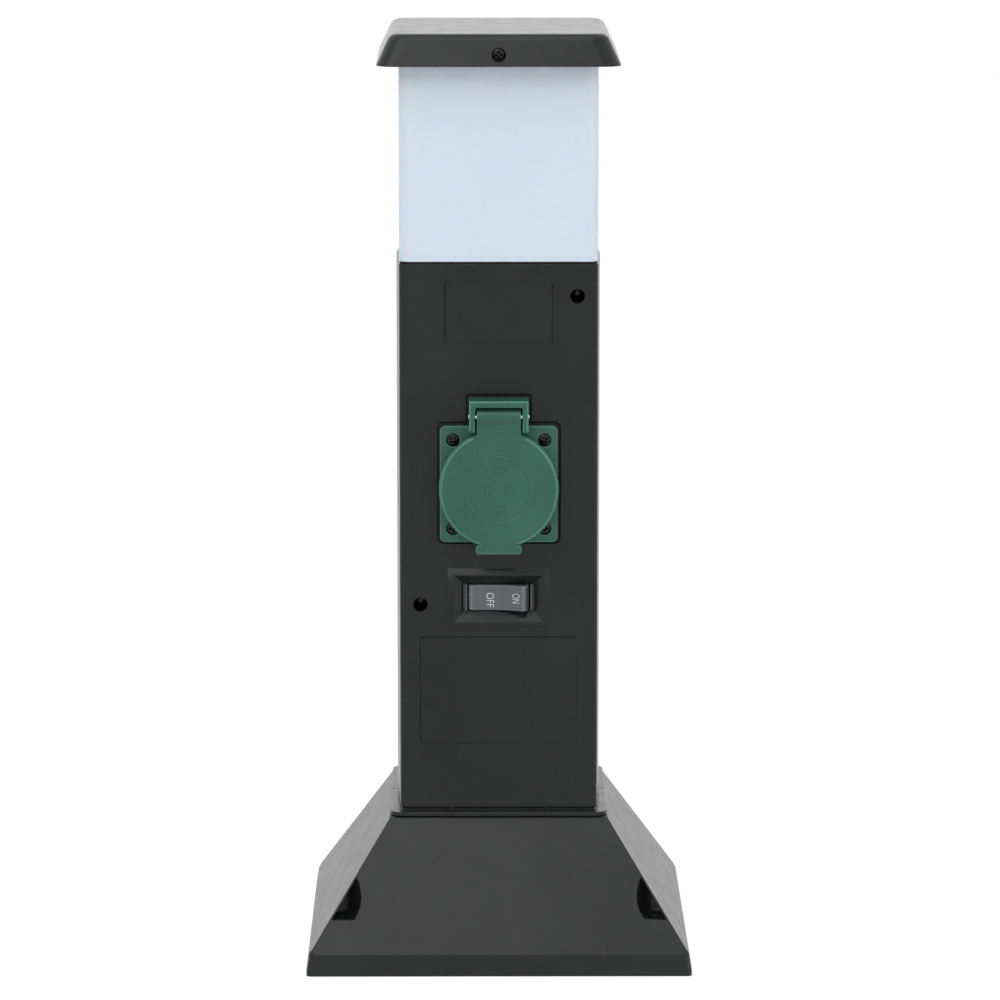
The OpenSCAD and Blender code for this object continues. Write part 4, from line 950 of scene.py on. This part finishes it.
class ScrewsOperator(bpy.types.Operator):
    """Add the cross-head screws of the shells, plate, block, deck, foot and roof"""

    bl_idname = "post.screws"
    bl_label = "Screws"

    # The way in which each node's heads look.
    heads = {"shell_screws": FRONT, "plate_screws": FRONT, "block_screws": FRONT,
             "deck_screws": UP, "foot_screws": -UP}

    # The first cross is turned by so many degrees, and each one after it by a step more.
    first_turn = 11
    turn_step = 37

    # Length and half width of the cross, as shares of the head's radius.
    cross_reach = 0.68
    cross_half = 0.2

    def execute(self, context):
        self.size = context.scene.post_screws
        for node, way in self.heads.items():
            self.group(node, lambda middle, way=way: way)
        self.group("roof_screws", lambda middle: FRONT if middle.y < 0 else -FRONT)
        return {"FINISHED"}

    def group(self, node, way):
        """The screws of one CAD node; way gives a head's direction from its screw's middle."""
        bm = bmesh.new()
        for number, (low, high) in enumerate(islands(node)):
            middle = (low + high) / 2
            head = way(middle)
            half = abs((high - low).dot(head)) / 2
            across = [0 if abs(head[i]) > 0.5 else high[i] - low[i] for i in range(3)]
            angle = math.radians(self.first_turn + self.turn_step * number)
            turn = Matrix.Rotation(angle, 4, "Z")
            place = facing(middle + head * half, head) @ turn
            add(bm, self.screw(max(across) / 2, 2 * half), place)
        put(node + "_piece", bm, (node,))

    def screw(self, radius, length):
        """A cross-head pan screw below Z = 0, with its thread wound into the shank."""
        size = self.size
        plain_neck = 0.6 * MM
        point = 2 * MM
        neck = -size.head_height
        ring = size.pitch / 5
        rings = max(2, int((length - size.head_height - point) / ring))
        bulge = [math.radians(a) for a in range(0, 91, 15)]
        head = [(radius * math.sin(a), size.head_rim * (math.cos(a) - 1)) for a in bulge]
        shank = [(size.shank_radius, neck - i * ring) for i in range(rings + 1)]
        bm = spun(head + [(radius, neck)] + shank + [(0, -length)], 28)
        thread(bm, size.tip - length, neck - plain_neck, size.pitch, size.thread_depth)
        cross = self.recess(self.cross_reach * radius, self.cross_half * radius, size.recess_depth)
        return cut(bm, cross)

    @staticmethod
    def recess(reach, half, depth):
        """A tapered cross, sunk from above Z = 0."""
        above = 0.2 * MM
        taper = 0.45
        bm = bmesh.new()
        outline = []
        for quarter in range(4):
            turn = Matrix.Rotation(quarter * math.pi / 2, 3, "Z")
            for x, y in ((reach, -half), (reach, half), (half, half)):
                outline.append(turn @ Vector((x, y, 0)))
        face = bm.faces.new([bm.verts.new(p + UP * above) for p in outline])
        verts = drawn(bm, [face])[0]
        bmesh.ops.scale(bm, vec=(taper, taper, 1), verts=verts)
        bmesh.ops.translate(bm, vec=(0, 0, -above - depth), verts=verts)
        bmesh.ops.recalc_face_normals(bm, faces=bm.faces)
        return bm


class LampOperator(bpy.types.Operator):
    """Add the opal diffuser and the lamp holder with its bulb"""

    bl_idname = "post.lamp"
    bl_label = "Lamp"

    def execute(self, context):
        moulding = context.scene.post_moulding
        lamp = context.scene.post_lamp
        softened("diffuser", moulding.case_radius)
        for node in ("diffuser_gasket", "lamp_deck", "lamp_holder", "holder_nut", "lamp_sleeve",
                     "lamp_contact"):
            softened(node, moulding.inner_radius)
        self.cap(lamp.thread_pitch, lamp.thread_depth)
        self.globe(lamp.bulb_neck)
        return {"FINISHED"}

    @staticmethod
    def cap(pitch, depth):
        """The bulb's screw cap with its rolled thread and centre contact."""
        low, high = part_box("bulb_cap")
        radius = (high.x - low.x) / 2
        tip = 2 * MM
        plain_foot = 0.5 * MM
        plain_top = 3 * MM
        rings = 48
        wall = [(radius, low.z + tip + (high.z - low.z - tip) * i / rings)
                for i in range(rings + 1)]
        # The wall draws in at its foot, round the contact's domed button.
        wall[0] = (0.8 * radius, low.z + tip)
        contact = [(0, low.z), (0.3 * radius, low.z + 0.2 * MM), (0.45 * radius, low.z + tip)]
        bm = spun(contact + wall + [(0, high.z)], 64)
        thread(bm, low.z + tip + plain_foot, high.z - plain_top, pitch, depth)
        put("bulb_cap_piece", bm, ("bulb_cap",))

    @staticmethod
    def globe(neck):
        """The bulb's glass: a globe that runs into a narrow neck on one smooth bend."""
        low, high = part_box("bulb_globe")
        radius = (high.x - low.x) / 2
        centre = high.z - radius
        lowest = -34
        angles = [math.radians(a) for a in range(lowest, 90, 4)]
        ball = [(radius * math.cos(a), centre + radius * math.sin(a)) for a in angles]
        start = Vector(ball[0])
        foot_height = 4 * MM
        bend_height = 9 * MM
        foot_round = 0.5 * MM
        foot = Vector((neck, low.z + foot_height))
        bend = foot + Vector((0, bend_height))
        steps = 10
        neck_line = []
        for i in range(steps):
            t = i / steps
            neck_line.append(tuple(foot.lerp(bend, t).lerp(bend.lerp(start, t), t)))
        bottom = [(0, low.z), (neck - foot_round, low.z)]
        bm = spun(bottom + neck_line + ball + [(0, high.z)], 72)
        put("bulb_globe_piece", bm, ("bulb_globe",))


class RoofOperator(bpy.types.Operator):
    """Add the hipped roof with its soft upper edge, and its gasket"""

    bl_idname = "post.roof"
    bl_label = "Roof"

    def execute(self, context):
        size = context.scene.post_lamp
        low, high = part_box("roof_cap")
        width = high.x - low.x
        lean = math.atan2(size.roof_lean, high.z - low.z)
        wall = size.roof_wall
        below = MM
        outer = self.shape(width, low.z, high.z, size.roof_corner, size.roof_edge, lean)
        inner = self.shape(width - 2 * wall + 2 * math.tan(lean) * below, low.z - below,
                           high.z - wall, size.roof_corner - wall, MM, lean)
        bm = cut(outer, inner)
        for screw_low, screw_high in islands("roof_screws"):
            middle = (screw_low + screw_high) / 2
            bm = self.screw_seat(bm, middle, screw_high - screw_low, width, size.boss_radius)
        bmesh.ops.holes_fill(bm, edges=[e for e in bm.edges if e.is_boundary])
        lip = [e for e in sharp_edges(bm, 50) if max(v.co.z for v in e.verts) < low.z + LEVEL]
        bmesh.ops.bevel(bm, geom=lip, offset=size.roof_lip, segments=3, profile=0.5,
                        affect="EDGES", material=-1)
        put("roof_piece", bm, ("roof_cap",))
        softened("roof_gasket", context.scene.post_moulding.inner_radius)
        return {"FINISHED"}

    @staticmethod
    def shape(width, low, high, corner, edge, lean):
        """A hipped block with round corners and a round upper edge."""
        rise = high - low - edge * (1 - math.sin(lean))
        loft = Loft(width, corner, low)
        loft.step(width - 2 * rise * math.tan(lean), low + rise, corner)
        loft.fillet(edge, lean)
        return loft.closed()

    @staticmethod
    def screw_seat(bm, middle, extent, width, radius):
        """Adds a boss from the roof's wall to the diffuser, with the screw's counterbore."""
        clearance = 0.3 * MM
        hole = 1.55 * MM
        sunk = 2.1 * MM
        beyond = MM
        boss_end = 4 * MM
        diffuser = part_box("diffuser")[1].y
        head = extent.z / 2 + clearance
        seat = abs(middle.y) + extent.y / 2 - sunk
        out = width / 2 + beyond
        boss = rod(radius, diffuser + clearance, width / 2 - boss_end)
        bore = spun([(0, diffuser), (hole, diffuser), (hole, seat), (head, seat), (head, out),
                     (0, out)], 44)
        place = facing((0, 0, middle.z), (0, math.copysign(1, middle.y), 0))
        for tool, mode in ((boss, "UNION"), (bore, "DIFFERENCE")):
            bmesh.ops.transform(tool, matrix=place, verts=tool.verts)
            bm = cut(bm, tool, mode)
        return bm


class WiringOperator(bpy.types.Operator):
    """Add the terminal block, the cable gland and the inner wires"""

    bl_idname = "post.wiring"
    bl_label = "Wiring"

    def execute(self, context):
        radius = context.scene.post_moulding.wiring_radius
        for node in ("terminal_block", "terminal_barrels", "terminal_screws", "gland_body",
                     "gland_locknut", "gland_seal", "gland_nut"):
            softened(node, radius)
        for node in ("live_wires", "neutral_wires", "earth_wire"):
            piece = put(node + "_piece", welded(node), (node,), angle=50)
            smooth = piece.modifiers.new("Round wires", "SUBSURF")
            smooth.levels = 1
            smooth.render_levels = 1
        return {"FINISHED"}


# Stage


class StageOperator(bpy.types.Operator):
    """Add the white studio: floor, light and camera"""

    bl_idname = "post.stage"
    bl_label = "Studio"

    # Where each lamp stands and how wide it is, in metres.
    lamps = {
        "key": ((-0.9, -1.5, 2.3), 2.2),
        "fill": ((1.9, -1.2, 0.9), 1.6),
        "top": ((0.1, -0.5, 2.7), 1.2),
        "back": ((0, 2.6, 1.2), 2.4),
    }
    aim = Vector((0, 0, 0.2))
    white = 1.04

    # The floor: its half width, its two tones, its own light, and how far from a contact its painted contact
    # shadow darkens that light.
    floor_half = 12
    floor_tones = ((0.94, 0.94, 0.94), (0.95, 0.95, 0.95))
    floor_white = 1.03
    floor_glow = 0.95
    painted_shadow_glow = 0.02
    contact_shadow = 1.2 * MM

    def execute(self, context):
        studio = context.scene.post_studio
        context.scene.view_settings.view_transform = "Standard"
        self.world(studio.room_light)
        self.floor()
        for name, (place, size) in self.lamps.items():
            self.lamp(name, place, size, getattr(studio, name + "_power"))
        self.camera(studio)
        return {"FINISHED"}

    @staticmethod
    def seen(tree):
        """A value of 1 for the camera's own rays, mirrored ones and those through glass."""
        path = tree.nodes.new("ShaderNodeLightPath")
        total = path.outputs["Is Camera Ray"]
        for name in ("Is Glossy Ray", "Is Transmission Ray"):
            node = tree.nodes.new("ShaderNodeMath")
            node.operation = "MAXIMUM"
            tree.links.new(total, node.inputs[0])
            tree.links.new(path.outputs[name], node.inputs[1])
            total = node.outputs[0]
        return total

    def world(self, strength):
        """Soft light from all round, before a background that shows as white."""
        world = bpy.data.worlds.new("Studio")
        bpy.context.scene.world = world
        world.use_nodes = True
        tree = world.node_tree
        tree.nodes.clear()
        out = tree.nodes.new("ShaderNodeOutputWorld")
        mix = tree.nodes.new("ShaderNodeMixShader")
        for socket, level in ((mix.inputs[1], strength), (mix.inputs[2], self.white)):
            light = tree.nodes.new("ShaderNodeBackground")
            light.inputs["Color"].default_value = (1, 1, 1, 1)
            light.inputs["Strength"].default_value = level
            tree.links.new(light.outputs[0], socket)
        tree.links.new(self.seen(tree), mix.inputs["Fac"])
        tree.links.new(mix.outputs[0], out.inputs["Surface"])

    def floor(self):
        """A white floor with a little of its own shadow, and a painted contact shadow where it meets the post."""
        bm = bmesh.new()
        bmesh.ops.create_grid(bm, x_segments=1, y_segments=1, size=self.floor_half)
        mesh = mesh_of("studio_floor", bm)
        finish = Finish("studio_floor")
        tree = finish.material.node_tree
        finish.set(Roughness=0.9).tint(finish.noise(0.8, 2), *self.floor_tones)
        glow = tree.nodes.new("ShaderNodeEmission")
        # Ambient occlusion dims the floor's glow near the post: a painted contact shadow.
        contact = tree.nodes.new("ShaderNodeAmbientOcclusion")
        contact.inputs["Distance"].default_value = self.contact_shadow
        openness = contact.outputs["AO"]
        level = finish.spread(openness, self.painted_shadow_glow, self.floor_white, 0.5, 0.95)
        tree.links.new(level, glow.inputs["Strength"])
        share = tree.nodes.new("ShaderNodeMath")
        share.operation = "MULTIPLY"
        share.inputs[1].default_value = self.floor_glow
        tree.links.new(self.seen(tree), share.inputs[0])
        mix = tree.nodes.new("ShaderNodeMixShader")
        tree.links.new(share.outputs[0], mix.inputs["Fac"])
        tree.links.new(finish.shader.outputs[0], mix.inputs[1])
        tree.links.new(glow.outputs[0], mix.inputs[2])
        tree.links.new(mix.outputs[0], tree.nodes["Material Output"].inputs["Surface"])
        mesh.materials.append(finish.material)
        linked("studio_floor", mesh)

    def lamp(self, name, place, size, power):
        """A square lamp that is turned towards the post."""
        light = bpy.data.lights.new(name, "AREA")
        light.size = size
        light.energy = power
        lamp = linked(name, light)
        lamp.location = place
        lamp.rotation_euler = (self.aim - Vector(place)).to_track_quat("-Z", "Y").to_euler()

    @staticmethod
    def camera(studio):
        """The camera, placed and turned as the photograph's was."""
        lens = bpy.data.cameras.new("Camera")
        lens.lens = studio.focal_length
        lens.sensor_width = 36
        lens.clip_end = 60
        camera = linked("Camera", lens)
        camera.location = studio.camera_place
        aim = Vector(studio.camera_aim) - Vector(studio.camera_place)
        camera.rotation_euler = aim.to_track_quat("-Z", "Y").to_euler()
        bpy.context.scene.camera = camera


# Sidebar and registration

OPERATORS = (BaseOperator, PillarOperator, SocketOperator, LidOperator, SwitchOperator,
             ScrewsOperator, LampOperator, RoofOperator, WiringOperator, StageOperator)


class PostPanel(bpy.types.Panel):
    """Settings and steps of the power post"""

    bl_idname = "VIEW3D_PT_power_post"
    bl_label = "Garden Power Post"
    bl_space_type = "VIEW_3D"
    bl_region_type = "UI"
    bl_category = "Power Post"

    def draw(self, context):
        for name, group in SETTINGS.items():
            box = self.layout.box()
            box.label(text=group.__doc__.rstrip("."))
            for field in group.__annotations__:
                box.prop(getattr(context.scene, name), field)
        for operator in OPERATORS:
            self.layout.operator(operator.bl_idname)


def register():
    """Adds the settings, the operators and the panel."""
    for name, group in SETTINGS.items():
        bpy.utils.register_class(group)
        setattr(bpy.types.Scene, name, bpy.props.PointerProperty(type=group))
    for cls in (*OPERATORS, PostPanel):
        bpy.utils.register_class(cls)


def unregister():
    """Takes all of them out again."""
    for cls in (PostPanel, *reversed(OPERATORS)):
        bpy.utils.unregister_class(cls)
    for name, group in reversed(SETTINGS.items()):
        delattr(bpy.types.Scene, name)
        bpy.utils.unregister_class(group)


def main():
    """Dresses the frame, one operator after the other."""
    register()
    make_finishes()
    bpy.ops.post.base()
    bpy.ops.post.pillar()
    bpy.ops.post.socket()
    bpy.ops.post.lid()
    bpy.ops.post.switch()
    bpy.ops.post.screws()
    bpy.ops.post.lamp()
    bpy.ops.post.roof()
    bpy.ops.post.wiring()
    bpy.ops.post.stage()


if __name__ == "__main__":
    main()
